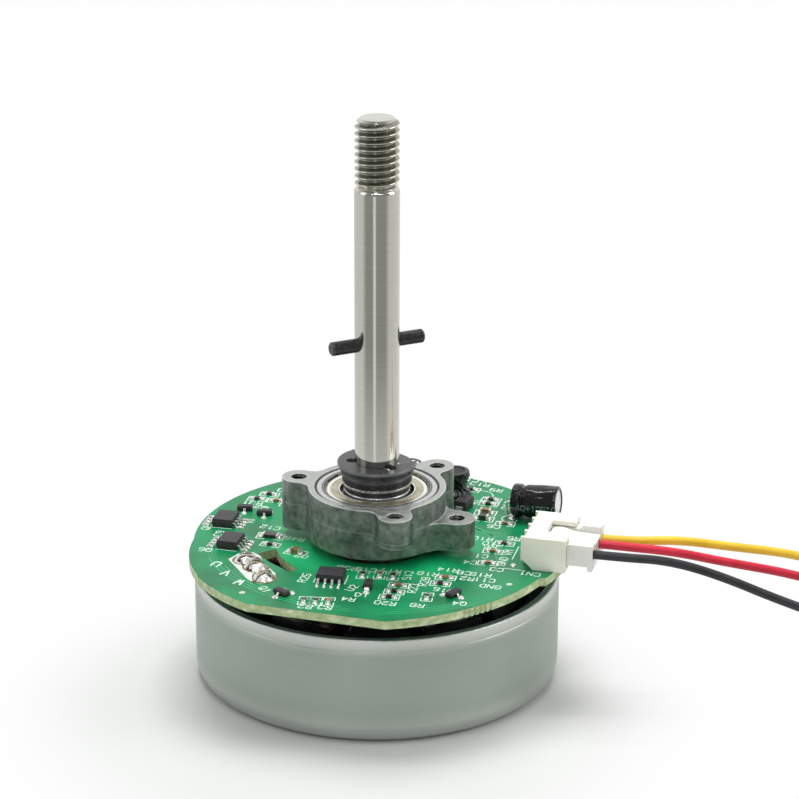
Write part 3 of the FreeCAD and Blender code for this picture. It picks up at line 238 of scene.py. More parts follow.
LEAD_RADIUS = 0.8
LEADS = {
    "black": (136.5, [
        (35.256, -11.826, 27.45), (42.965, -13.964, 27.45), (51.5, -14.6, 27.1), (60.5, -14.4, 24.2),
        (72, -14.9, 19.3), (85, -14.1, 14.2), (97, -12.2, 6.8), (108, -9, 0.8), (120, -7.6, 0.8),
        (132, -9.8, 0.8), (144, -16.2, 0.8), (155.5, -19.6, 0.8), (163, -17.6, 0.8)]),
    "red": (134.0, [
        (36.592, -7.008, 27.45), (44.301, -9.146, 27.45), (53, -9.4, 26.6), (62, -8.6, 24.3),
        (74, -8.2, 21.9), (87, -6.8, 17.4), (99, -5, 10.2), (109.5, -2.6, 3.2), (120, 0.2, 0.8),
        (132, 1.2, 0.8), (144, -2.4, 0.8), (154.5, -7.6, 0.8), (162.5, -8.6, 0.8)]),
    "yellow": (133.8, [
        (37.260, -4.598, 27.45), (44.969, -6.736, 27.45), (54, -6.3, 27.6), (63, -5, 25.8),
        (75, -3.6, 23.8), (88, -1.4, 19.2), (100.5, 1.4, 11.6), (111, 4.6, 4), (121.5, 8.2, 0.8),
        (133.5, 10.6, 0.8), (145.5, 9, 0.8), (155, 4.4, 0.8), (161.5, 1.4, 0.8)])}


def draw_lead(colour, route):
    """A spline of the third order that hangs on the route's points, with a round section."""
    curve = bpy.data.curves.new(colour + "_lead", "CURVE")
    curve.dimensions = "3D"
    curve.bevel_depth = LEAD_RADIUS * MM
    curve.bevel_resolution = 6
    curve.resolution_u = 16
    curve.use_fill_caps = True
    spline = curve.splines.new("NURBS")
    spline.points.add(len(route) - 1)
    weighted = np.column_stack([np.array(route) * MM, np.ones(len(route))])
    spline.points.foreach_set("co", weighted.ravel())
    spline.order_u = 3
    spline.use_endpoint_u = True
    curve.materials.append(sleeves[colour])
    lead = bpy.data.objects.new(colour + "_lead", curve)
    scene.collection.objects.link(lead)
    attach(lead, "stator")
    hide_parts(colour + "_wire")
    return lead


for colour, (length, route) in LEADS.items():
    draw_lead(colour, route)
    print(colour, "lead, control points:", len(route))

# %% [markdown]
# ## Meshes from grids
# A grid of points, rows by columns, becomes a skin of quads. Where the grid wraps round, or a row
# shrinks to a point, the doubled points are merged, which closes seams and poles. Then faces are turned
# outwards.

# %% Make a mesh from grids of points
def quads(rows, columns):
    """Corner numbers of the quads between neighbouring rows and columns of one grid."""
    corner = np.arange(rows * columns).reshape(rows, columns)
    around = [corner[:-1, :-1], corner[:-1, 1:], corner[1:, 1:], corner[1:, :-1]]
    return np.stack(around, -1).reshape(-1, 4)


def piece(name, grids, material, body="stator", sharp=40, weld=1e-6):
    """One object out of grids of points in millimetres; an array may stack many grids of one shape."""
    points = []
    faces = []
    count = 0
    for grid in grids:
        rows, columns = grid.shape[-3:-1]
        points.append(grid.reshape(-1, 3))
        starts = count + rows * columns * np.arange(grid.size // (3 * rows * columns))
        faces.append((quads(rows, columns)[None] + starts[:, None, None]).reshape(-1, 4))
        count += grid.size // 3
    mesh = bpy.data.meshes.new(name)
    mesh.from_pydata((np.concatenate(points) * MM).tolist(), [], np.concatenate(faces).tolist())
    work = bmesh.new()
    work.from_mesh(mesh)
    bmesh.ops.remove_doubles(work, verts=work.verts, dist=weld)
    bmesh.ops.recalc_face_normals(work, faces=work.faces)
    work.to_mesh(mesh)
    work.free()
    mesh.shade_smooth()
    mesh.set_sharp_from_angle(angle=math.radians(sharp))
    mesh.materials.append(material)
    made = bpy.data.objects.new(name, mesh)
    scene.collection.objects.link(made)
    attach(made, body)
    return made


def full_turn(sides):
    """Angles from 0 to a full turn in one row, the last one on the first."""
    return np.linspace(0, 2 * np.pi, sides + 1)[None, :]


def carried(r, t, z, x=0.0, y=0.0):
    """Grid from radius, angle and height: (x + r cos t, y + r sin t, z)."""
    return np.stack(np.broadcast_arrays(x + r * np.cos(t), y + r * np.sin(t), z), -1)


def turned(profile, sides=96, centre=(0.0, 0.0)):
    """A profile of (radius, height) carried through a full turn."""
    r, z = np.array(profile, float).T[:, :, None]
    return carried(r, full_turn(sides), z, *centre)


def moved(points, place):
    """Points turned about z by the place's angle in degrees and shifted to its x and y."""
    x, y, angle = place
    c, s = math.cos(math.radians(angle)), math.sin(math.radians(angle))
    turn = np.array([[c, s, 0], [-s, c, 0], [0, 0, 1]])
    return points @ turn + np.array([x, y, 0])


print("two points carried round, as a grid:", turned([(1, 0), (1, 1)]).shape)

# %% [markdown]
# ## Stripped lead ends
# Each lead's far end is stripped and tinned: seven thin strands with a light twist. One strand is a
# tube that winds round the axis, and the six outer ones are turned copies of it round a straight one.

# %% Twist the strands
STRAND_RADIUS = 0.15
TIP_LENGTH, LAY_LENGTH = 5.0, 9.0
tinned_copper = finish("tinned_copper", (150, 142, 128), (206, 200, 188), (0.25, 0.4), 0.5,
                       lift_size=0.1, Metallic=1.0)


def with_ends(tube, ends):
    """A tube whose first and last ring are closed by a point each."""
    caps = [np.repeat(point[None, None], tube.shape[1], 1) for point in ends]
    return np.concatenate([caps[0], tube, caps[1]])


def strand(start, direction, orbit, phase):
    """Tube along a helix: centre = start + s d + orbit (cos a u + sin a v), where a grows with s."""
    d = direction / np.linalg.norm(direction)
    u = np.cross(d, [0, 0, 1.0])
    u /= np.linalg.norm(u)
    v = np.cross(d, u)
    s = np.linspace(-0.3, TIP_LENGTH, 24)[:, None]
    a = phase + s * 2 * np.pi / LAY_LENGTH
    out = np.cos(a) * u + np.sin(a) * v
    across = np.cross(d, out)
    centre = start + s * d + orbit * out
    t = full_turn(8)[..., None]
    tube = centre[:, None] + STRAND_RADIUS * (np.cos(t) * out[:, None] + np.sin(t) * across[:, None])
    return with_ends(tube, centre[[0, -1]])


strand_grids = []
for colour, (length, route) in LEADS.items():
    end = np.array(route[-1], float)
    heading = end - np.array(route[-2], float)
    strand_grids.append(strand(end, heading, 0.0, 0.0))
    for k in range(6):
        strand_grids.append(strand(end, heading, 2 * STRAND_RADIUS, k * np.pi / 3))
bare_strands = piece("bare_strands", strand_grids, tinned_copper)
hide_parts("wire_tips")
print("strands:", len(strand_grids))

# %% [markdown]
# ## Shaft
# The shaft is a ground steel rod with an M8 thread cut on its end. A thread is a ramp wound round a
# rod, so the rows of this grid climb by one pitch in each turn: then a crest follows a row and stays
# sharp. The radius follows a V with a cut-off crest and root. Grinding leaves fine lines round the rod.

# %% Cut the thread and turn the shaft
SHAFT_R, NECK_R, GROOVE_R = 4.0, 3.5, 3.5
THREAD_R, THREAD_DEPTH, PITCH = 3.97, 0.86, 1.25
THREAD_LOW, SHAFT_TOP = 91.5, 103.7
TOP_R, TOP_SLOPE = 2.95, 1.11
RUN_OUT, RUN_IN, CLIP_PLAY = 0.9, 1.5, 0.05
ROWS_A_TURN = 20


def thread(sides=96):
    """Height climbs a pitch in a turn; radius = crest - depth * (a trapezoid of the height's phase)."""
    turns = (SHAFT_TOP - THREAD_LOW) / PITCH + 1
    row = np.arange(int(turns * ROWS_A_TURN) + 2)[:, None] / ROWS_A_TURN
    t = np.linspace(0, 1, sides + 1)[None, :]
    z = np.clip(THREAD_LOW + PITCH * (row - 1 + t), THREAD_LOW, SHAFT_TOP)
    phase = np.mod((z - THREAD_LOW) / PITCH - t, 1.0)
    wave = np.clip((np.abs(phase - 0.5) * 2 - 0.22) / 0.7, 0, 1)
    r = THREAD_R - THREAD_DEPTH * (1 - wave)
    r = np.minimum(r, TOP_R + TOP_SLOPE * (SHAFT_TOP - z))
    r = np.minimum(r, NECK_R + (z - THREAD_LOW) * RUN_OUT)
    r = np.maximum(r, NECK_R - (z - THREAD_LOW) * RUN_IN)
    return carried(r, 2 * np.pi * t, z)


ground_steel = finish("ground_steel", (206, 205, 196), (211, 210, 202), (0.09, 0.13), 0.4,
                      (0.05, 0.05, 1.0), 0.0005, 0.25, Metallic=1.0, Anisotropic=0.4)
clip_low, clip_high = [corner.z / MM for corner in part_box("e_clip")]
clip_high += CLIP_PLAY
rod = turned([(0, 0), (SHAFT_R - 0.3, 0), (SHAFT_R, 0.3), (SHAFT_R, clip_low), (GROOVE_R, clip_low),
              (GROOVE_R, clip_high), (SHAFT_R, clip_high), (SHAFT_R, 62.0), (SHAFT_R, 90.6),
              (3.96, 90.85), (3.86, 91.1), (3.72, 91.28), (NECK_R, 91.4), (NECK_R, THREAD_LOW)])
cut = thread()
top = np.stack([cut[-1], cut[-1] * [0, 0, 1]])
shaft = piece("threaded_shaft", [rod, cut, top], ground_steel, "rotor", sharp=38)
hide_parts("shaft")
print("thread turns:", round((SHAFT_TOP - THREAD_LOW) / PITCH, 1), "faces:", len(shaft.data.polygons))

# %% [markdown]
# The thread's flanks are painted darker than the ground rod: painted shade in the thread's grooves.
# They get a second finish. Numpy picks their faces by height and by distance from the axis, all in one
# step.

# %% Paint shade on the thread's flanks
# Painted shade: the darker finish of the thread's flanks.
painted_flank_shade = finish("painted_flank_shade", (140, 140, 128), (158, 158, 146), (0.16, 0.26), 0.6,
                      Metallic=1.0)
shaft.data.materials.append(painted_flank_shade)
spots = np.empty(len(shaft.data.polygons) * 3)
shaft.data.polygons.foreach_get("center", spots)
spots = spots.reshape(-1, 3) / MM
below_crest = np.hypot(spots[:, 0], spots[:, 1]) < THREAD_R - 0.13
flank_shade_faces = below_crest & (spots[:, 2] > THREAD_LOW + 0.5) & (spots[:, 2] < SHAFT_TOP - 0.5)
shaft.data.polygons.foreach_set("material_index", flank_shade_faces.astype(np.int32))
print("darkened faces:", int(flank_shade_faces.sum()))

# %% [markdown]
# ## Metals
# Plated can, cast housing, bearing steel and blackened washers are all metal, yet look quite different.
# The can is drawn from sheet and plated, so its tone is nearly even, with faint level lines. The
# housing is cast zinc-grey with a grainy skin. Corners are painted pale, partly as wear and partly as
# a painted highlight: where the shader's rounded normal leans away from the true one, a corner is
# near, and there the tone turns pale.

# %% Finish the metals
def paint_corner_wear_and_highlight(material, width, colour):
    """Corner share = 1 - (rounded normal . true normal): zero on a flat, and it grows to a corner."""
    tree = material.node_tree
    rounded = node(tree, "Bevel", samples=4, Radius=width * MM).outputs["Normal"]
    true = node(tree, "NewGeometry").outputs["Normal"]
    flat = node(tree, "VectorMath", rounded, true, operation="DOT_PRODUCT").outputs["Value"]
    # The pale colour laid on corners is partly wear and partly a painted highlight.
    lay_over(material, ramp(tree, flat, [(0.80, (0.85, 0.85, 0.85, 1)), (0.985, (0, 0, 0, 1))]), colour)


plated_can = finish("plated_can", (162, 172, 163), (168, 178, 169), (0.42, 0.5), 3.0,
                    (0.4, 0.4, 1.0), 0.004, 0.5, (0.3, 0.3, 1.0), 0.3, Metallic=1.0)
cast_metal = finish("cast_metal", (104, 111, 106), (156, 161, 156), (0.34, 0.5), 1.6,
                    lift=0.07, lift_size=0.6, edge=0.2, Metallic=0.96)
bearing_steel = finish("bearing_steel", (186, 188, 186), (206, 207, 204), (0.2, 0.3), 0.6,
                       lift=0.002, lift_size=0.3, edge=0.08, Metallic=0.8)
shield_steel = finish("shield_steel", (160, 155, 128), (196, 192, 168), (0.22, 0.34), 1.6,
                      lift=0.012, lift_size=0.35, Metallic=0.75)
snap_wire = finish("snap_wire", (108, 104, 90), (150, 146, 132), (0.25, 0.4), 1.0, Metallic=1.0)
black_oxide = finish("black_oxide", (34, 34, 37), (54, 54, 58), (0.24, 0.36), 0.9,
                     lift=0.006, lift_size=0.3, edge=0.14, Metallic=0.5, Specular_IOR_Level=0.7)
# Pale corners on the black washers and clip: partly wear, partly painted highlight.
paint_corner_wear_and_highlight(black_oxide, 0.36, shade(156, 158, 160))
print("metal finishes done")

# %% [markdown]
# Turned and pressed parts carry rings of painted light and shade: painted shade in the gap between
# two rings, a painted highlight on a rim, and a pale machined face. Such a tone depends on one distance
# only, from the shaft's axis or from the table, so a colour ramp along that distance places it. Each
# stop gives the distance in millimetres, the tone and the share of that tone.

# %% Place tones by distance
UPWARD = {"axes": (0, 0, 1), "longest": 50}


def placed_tones(material, stops, axes=(1, 1, 0), longest=20):
    """Position on the ramp = length of (own place * axes) / the longest distance."""
    tree = material.node_tree
    along = distance(tree, [axis / (longest * MM) for axis in axes])
    tones = ramp(tree, along, [(mm / longest, (*tone[:3], share)) for mm, tone, share in stops])
    lay_over(material, tones.node.outputs["Alpha"], tones)


# Painted shade for the gaps between rings, and painted highlights on the rings' rounded edges.
painted_gap_shade, painted_ring_highlight = shade(30, 30, 28), shade(128, 130, 132)
# A pale tone for the machined top of the housing and for painted light, and a brighter one for painted
# highlights on rims.
machined_and_painted_light, painted_rim_highlight = shade(226, 228, 224), shade(240, 239, 230)
housing_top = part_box("bearing_housing")[1].z / MM
can_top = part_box("rotor_can")[1].z / MM
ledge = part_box("lower_washer")[1].z / MM
under_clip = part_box("e_clip")[0].z / MM
# Painted shade: a dark ring in the gap between the housing's bore and the bearing's outer ring.
placed_tones(cast_metal, [(10.9, painted_gap_shade, 0.0), (11.0, painted_gap_shade, 1.0), (11.25, painted_gap_shade, 1.0), (11.35, painted_gap_shade, 0.0)])
# Painted highlights on the shield's two rolled rims, and painted shade in the grooves beside them.
placed_tones(shield_steel, [(6.5, painted_rim_highlight, 1), (6.95, painted_rim_highlight, 1), (7.0, painted_gap_shade, 0.7), (7.15, painted_gap_shade, 0),
                            (8.3, painted_gap_shade, 0), (8.45, painted_rim_highlight, 1), (9.1, painted_rim_highlight, 1), (9.2, painted_gap_shade, 0.9),
                            (9.5, painted_gap_shade, 0.9)])
# Painted shade: dark lines on the bearing's outer ring, at the step to the shield and at the gap to the
# housing.
placed_tones(bearing_steel, [(9.6, painted_gap_shade, 0.0), (9.7, painted_gap_shade, 0.8), (9.95, painted_gap_shade, 0.8), (10.05, painted_gap_shade, 0.0),
                             (10.75, painted_gap_shade, 0.0), (10.9, painted_gap_shade, 0.6)])
# A thin pale line round the walls at 31.3 mm, and the housing's top face paler: partly machined, partly
# painted light from above.
placed_tones(cast_metal, [(31.2, machined_and_painted_light, 0), (31.26, machined_and_painted_light, 0.3), (31.34, machined_and_painted_light, 0.3),
                          (31.4, machined_and_painted_light, 0), (housing_top - 0.12, machined_and_painted_light, 0),
                          (housing_top - 0.04, machined_and_painted_light, 0.6)], **UPWARD)
# Pale corners on the housing: partly wear, partly painted highlight.
paint_corner_wear_and_highlight(cast_metal, 0.45, shade(244, 245, 242))
# Painted light on the can: paler at its foot, where it mirrors the bright paper, and a painted
# highlight band under the rim.
placed_tones(plated_can, [(0.6, machined_and_painted_light, 0.55), (6.0, machined_and_painted_light, 0), (can_top - 3.2, machined_and_painted_light, 0),
                          (can_top - 0.6, machined_and_painted_light, 0.75)], **UPWARD)
# Painted shade in the gaps between the washers and under the clip; painted highlights on the washers'
# rounded edges and the clip's side.
placed_tones(black_oxide, [
    (ledge - 0.62, painted_ring_highlight, 0), (ledge - 0.5, painted_ring_highlight, 0.3), (ledge - 0.16, painted_ring_highlight, 0.3),
    (ledge - 0.05, painted_gap_shade, 1), (ledge + 0.1, painted_gap_shade, 1), (ledge + 0.15, painted_ring_highlight, 0.5),
    (ledge + 0.35, painted_ring_highlight, 0), (under_clip - 0.08, painted_gap_shade, 0), (under_clip, painted_gap_shade, 1),
    (under_clip + 0.08, painted_ring_highlight, 0.3), (under_clip + 0.3, painted_ring_highlight, 0.8), (under_clip + 0.5, painted_ring_highlight, 0.8),
    (under_clip + 0.56, painted_ring_highlight, 0)], **UPWARD)
wear(plated_can, "rotor_can", "rotor_hub")
wear(cast_metal, "bearing_housing")
wear(bearing_steel, "upper_outer_ring", "lower_outer_ring", "upper_inner_ring", "lower_inner_ring",
     "steel_shim", "upper_balls", "lower_balls")
wear(shield_steel, "lower_bearing_shields")
wear(snap_wire, "shield_snap_rings")
wear(black_oxide, "e_clip", "upper_washer", "lower_washer", "spacer_ring", "cross_pin")
print("heights that place tones:", [round(z, 2) for z in (can_top, housing_top, ledge, under_clip)])

# %% [markdown]
# The upper bearing's shield is a pressed ring: a flat dish between a crimped outer rim and a rolled
# inner one that catches the light. Its twin closes the bearing's underside. Each is one turned section.

# %% Press the shields
SHIELD_TOP, SHIELD_LOW = 34.95, 28.85
dish = [(9.5, 0), (9.5, -0.16), (6.72, -0.16), (6.66, 0.0), (6.72, 0.14), (6.86, 0.2), (7.02, 0.12),
        (7.2, -0.06), (8.25, -0.06), (8.45, 0.04), (8.6, 0.14), (8.85, 0.18), (9.05, 0.1), (9.2, 0),
        (9.5, 0)]
dishes = [turned([(r, middle + side * h) for r, h in dish])
          for middle, side in ((SHIELD_TOP, 1), (SHIELD_LOW, -1))]
shields = piece("pressed_shields", dishes, shield_steel, sharp=60)
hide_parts("upper_bearing_shields")
print("shield faces:", len(shields.data.polygons))

# %% [markdown]
# The four lugs are tapped. A tap leaves the same ramp as the shaft's thread, now on the inside of a
# hole: the crests point inwards. A thin lining inside each hole carries it, closed by its own outer
# wall.

# %% Tap the lug holes
LUG_PITCH = 0.7
WALL_R, CREST_R, TAP_CLEARANCE = 1.39, 1.16, 0.02
TAP_ROWS_A_TURN = 12
LUG_REACH, LUG_ANGLE, LUG_TOP, LUG_DEPTHS = 14.9, 162.2, 35.2, (8.6, 4.4, 8.6)
SIDE_REACH, SIDE_ANGLE, SIDE_TOP, SIDE_DEPTH = 15.05, -18.7, 30.9, 4.2


def lining(x, y, top, length, sides=48):
    """Inner radius = wall - depth * triangle(height / pitch - turn share); a wall closes it outside."""
    t = full_turn(sides)
    rows = int(length / LUG_PITCH * TAP_ROWS_A_TURN) + TAP_ROWS_A_TURN
    row = np.arange(rows)[:, None] / TAP_ROWS_A_TURN
    z = np.clip(top - length + LUG_PITCH * (row - 1 + t / (2 * np.pi)), top - length, top)
    wave = 1 - np.abs(np.mod((z - top) / LUG_PITCH - t / (2 * np.pi), 1.0) * 2 - 1)
    root = WALL_R - TAP_CLEARANCE
    inner = carried(root - (root - CREST_R) * wave, t, z, x, y)
    outer = carried(WALL_R, t, z[[-1, 0]], x, y)
    return np.concatenate([inner, outer, inner[:1]])


def polar(reach, degrees):
    """Plan point at a reach and an angle from x."""
    return reach * math.cos(math.radians(degrees)), reach * math.sin(math.radians(degrees))


linings = [lining(*polar(LUG_REACH, LUG_ANGLE + 120 * k), LUG_TOP, depth)
           for k, depth in enumerate(LUG_DEPTHS)]
linings.append(lining(*polar(SIDE_REACH, SIDE_ANGLE), SIDE_TOP, SIDE_DEPTH))
thread_metal = finish("thread_metal", (70, 74, 70), (120, 124, 120), (0.3, 0.45), 0.5,
                      Metallic=1.0)
lug_threads = piece("lug_threads", linings, thread_metal, sharp=35)
print("tapped holes:", len(linings), "faces:", len(lug_threads.data.polygons))

# %% [markdown]
# ## Inside the can
# Laminated steel, moulded nylon, enamelled copper and dark ferrite sit under the board. Little of them
# shows, but a viewer may look into the gap. Copper turns lie side by side, so the coils get fine
# ridges: rings of equal distance from the shaft, one for each turn.

# %% Finish the inside
laminated_steel = finish("laminated_steel", (60, 62, 66), (100, 102, 106), (0.4, 0.55), 0.5,
                         (0.02, 0.02, 1.0), 0.03, 0.5, Metallic=0.9)
black_nylon = finish("black_nylon", (22, 23, 25), (36, 37, 40), (0.45, 0.6), 3, edge=0.1)
ferrite = finish("ferrite", (34, 34, 38), (50, 50, 54), (0.6, 0.75), 1.0, lift=0.03)
cage_nylon = finish("cage_nylon", (196, 186, 156), (212, 204, 176), (0.45, 0.6), 2)
TURN_WIDTH, TURN_LIFT = 0.2, 0.15
copper_turns = finish("copper_turns", (78, 34, 18), (118, 58, 32), (0.2, 0.32), 1.5, lift=TURN_LIFT,
                      Metallic=0.8, Coat_Weight=0.6)
tree = copper_turns.node_tree
bump = next(n for n in tree.nodes if n.type == "BUMP")
wave = sum_of(tree, "PINGPONG", distance(tree, (1, 1, 0)), TURN_WIDTH * MM)
feed(tree, bump.inputs["Height"], sum_of(tree, "DIVIDE", wave, TURN_WIDTH * MM))
wear(laminated_steel, "stator_core")
wear(black_nylon, "upper_insulator", "lower_insulator")
wear(copper_turns, "stator_coils", "winding_leads")
wear(ferrite, "magnet_ring", "choke_core")
wear(cage_nylon, "upper_cage", "lower_cage")
print("inside finishes done")

# %% [markdown]
# ## Board
# The board is woven glass in resin under a green film. The film lies only on the two faces, and the cut
# edge shows the pale fibre with a few brown specks. One material does both: it looks at the height,
# which is exact here because the board is flat. Round the housing the green is painted brighter:
# painted light that lifts the shade that the housing casts there.

# %% Finish the board
BOARD_TOP, BOARD_LOW, EDGE_REACH = 24.4, 22.8, 0.75
board_green = finish("board_green", (8, 102, 60), (18, 134, 84), (0.3, 0.42), 9.0,
                     lift=0.015, lift_size=1.2, Specular_IOR_Level=0.3)
painted_light_green = shade(18, 172, 104)
# Painted light: a brighter green round the housing, against its shade.
placed_tones(board_green, [(15.5, painted_light_green, 0.85), (21.5, painted_light_green, 0.0)])
tree = board_green.node_tree
height = split(tree, own_place(tree))["Z"]
cut_edge = sum_of(tree, "COMPARE", height, (BOARD_TOP + BOARD_LOW) / 2 * MM, EDGE_REACH * MM)
fibre = ramp(tree, noise(tree, 1.6, (1, 1, 1.6), 5.0, 0.6), [
    (0.26, shade(104, 100, 60)), (0.34, shade(152, 168, 116)), (0.52, shade(174, 192, 146)),
    (0.72, shade(214, 220, 184))])
lay_over(board_green, cut_edge, fibre)
wear(board_green, "circuit_board")
print("board finish done")

# %% [markdown]
# Tracks and printed marks are thin bars that lie on the board. A bar runs from one point to the next,
# and its two ends reach past them by half its width, so bars meet without a gap. Each bar is a closed
# box of four rows: a middle point below, the four lower corners, the four upper ones, a middle point
# above.

# %% Lay bars along lines
def bars(lines, width, low, high):
    """Boxes of one width along the lines' runs, as one array; heights differ by 0.002 mm in turn."""
    runs = np.concatenate([np.stack([np.array(line, float)[:-1], np.array(line, float)[1:]], 1)
                           for line in lines])
    a, b = runs[:, 0], runs[:, 1]
    along = (b - a) / np.linalg.norm(b - a, axis=1)[:, None] * width / 2
    across = np.stack([-along[:, 1], along[:, 0]], 1)
    ring = np.stack([a - along - across, b + along - across, b + along + across, a - along + across,
                     a - along - across], 1)
    middle = np.repeat(((a + b) / 2)[:, None], 5, 1)
    flat = np.stack([middle, ring, ring, middle], 1)
    step = 0.002 * (np.arange(len(runs)) % 4)[:, None, None] * np.array([-1, -1, 1, 1])[None, :, None]
    z = np.array([low, low, high, high])[None, :, None] + step + np.zeros((len(runs), 4, 5))
    return np.concatenate([flat, z[..., None]], -1)


def arc(radius, start, end, centre=(0.0, 0.0), steps=24):
    """Points on a circle between two angles in degrees."""
    t = np.radians(np.linspace(start, end, steps))
    return carried(radius, t, 0.0, *centre)[:, :2]


track_green = finish("track_green", (30, 136, 84), (44, 154, 98), (0.28, 0.38), 6.0,
                     Specular_IOR_Level=0.36)
BOARD_MIDDLE, TRACK_WIDTH = (1.15, 1.7), 0.34
tracks = [arc(32.4 - 0.8 * k, 196 + 4 * k, 262 - 3 * k, BOARD_MIDDLE) for k in range(4)]
tracks += [arc(33.0 - 0.8 * k, 268 + 3 * k, 300 - 2 * k, BOARD_MIDDLE) for k in range(3)]
tracks += [arc(17.4 + 0.7 * k, 225, 256 + 4 * k) for k in range(4)]
tracks += [arc(17.2 + 0.7 * k, 286 - 4 * k, 320) for k in range(4)]
tracks += [[(-22.4 + 0.9 * k, 12.2 - 0.4 * k), (-19.6 + 0.9 * k, 6.0 - 0.2 * k)] for k in range(6)]
tracks += [[(14.5, 12.5 - k), (19.0 + k, 5.5 - k), (23.5, 4.0 - k)] for k in range(3)]
tracks += [[(16.0 + k, 9.0), (20.5 + k, 3.0), (21.5 + k, -8.0)] for k in range(2)]
track_bars = bars(tracks, TRACK_WIDTH, BOARD_TOP - 0.01, BOARD_TOP + 0.012)
copper_tracks = piece("copper_tracks", [track_bars], track_green)
print("tracks:", len(tracks), "faces:", len(copper_tracks.data.polygons))

# %% [markdown]
# Chip parts are given by x, y and the angle of their long side. The same places serve three things: the
# solids that are there already, the printed brackets round them and the solder at their ends.

# %% Note where the parts sit
RESISTORS = [
    (-2.5, -14.6, 82), (2.9, -15.3, 82), (3, -22.1, -10), (2.1, -24.4, -10), (8.7, -24.3, 82),
    (11.1, -18.6, -12), (-12.6, -25.9, 83), (-10.6, -26.1, 83), (21.5, 20.8, -20), (20.9, 18.6, -20),
    (23.1, -0.5, -15), (17.8, 26, -20), (-22.5, 21.2, -15), (-20.3, 23.5, -15), (-19.3, -0.9, -20)]
CAPACITORS = [
    (0.5, -14.7, 82), (3.8, -19.3, -10), (12.1, -15.9, -12), (-8.4, -26.3, 83), (19.8, -9.4, -10),
    (20.9, -4.1, -15), (23.6, 8.9, -15), (-18.8, 20.2, -15)]
LARGER = [(-14.6, -4.6, -26), (20.2, 14.3, -15), (19.6, 11.3, -15)]
SHUNT = (-19.4, 3.0, -13)
MOSFETS = [(-27.9, 9.6, -14), (-26.5, -0.8, -16.5), (-8.1, -16.4, 80.5)]
TRANSISTORS = [(-24.6, 15.7, 175), (-20.9, 13.4, 177), (-16.6, -23.2, 138), (13.3, -23.7, -130)]
LARGE_DIODE, SMALL_DIODE = (16.2, 16.6, 66), (-1.6, -20.0, 83)
CHOKE = (14.7, 22.2)
WINDINGS = [(-23.4, -8.0), (-21.7, -11.3), (-20.0, -15.9)]
print("chip parts:", len(RESISTORS + CAPACITORS + LARGER) + 1)

# %% [markdown]
# The printed letters are drawn, not typed: each one is a few strokes on a grid of 4 by 6 cells. A
# stroke is written as pairs of digits, column then row. Only generic marks are printed: phase letters,
# GND and reference numbers. Most read upside down from here, because the board is meant to be read from
# its back.

# %% Draw letters with strokes
STROKES = {
    "0": "103041453616050110", "1": "152620", "2": "05163645440040", "3": "0516364544334241301001",
    "4": "30360242", "5": "460603334241301001", "6": "36160501103041423303", "7": "064620",
    "8": "133342413010010213 133344453616050413", "9": "10304145361605041343",
    "C": "4536160501103041", "D": "00062644422000", "G": "45361605011030414323",
    "M": "0006234640", "N": "00064046", "Q": "103041453616050110 2240",
    "R": "00063645443303 2340", "U": "060110304146", "V": "062046", "W": "0610233046", "+": "0343 2125",
    "°": "152526161505", "-": "0343"}
LETTER_STEP = 5.6


def written(text, x, y, angle=165, height=1.45):
    """Strokes of a word centred on a point: cell = height / 6; letters follow by LETTER_STEP cells."""
    lines = []
    for i, letter in enumerate(text):
        for stroke in STROKES[letter].split():
            digits = np.array([int(c) for c in stroke], float).reshape(-1, 2)
            digits += (LETTER_STEP * (i - (len(text) - 1) / 2) - 2, -3)
            flat = np.column_stack([digits * height / 6, np.zeros(len(digits))])
            lines.append(moved(flat, (x, y, angle))[:, :2])
    return lines


print("letters that can be drawn:", len(STROKES))

# %% [markdown]
# Each chip part stands between two printed brackets, and every part has its number beside it. The three
# large letters name the winding ends. Print is a layer of white ink, far thinner than a hair, so the
# bars stand only 0.02 mm above the film.

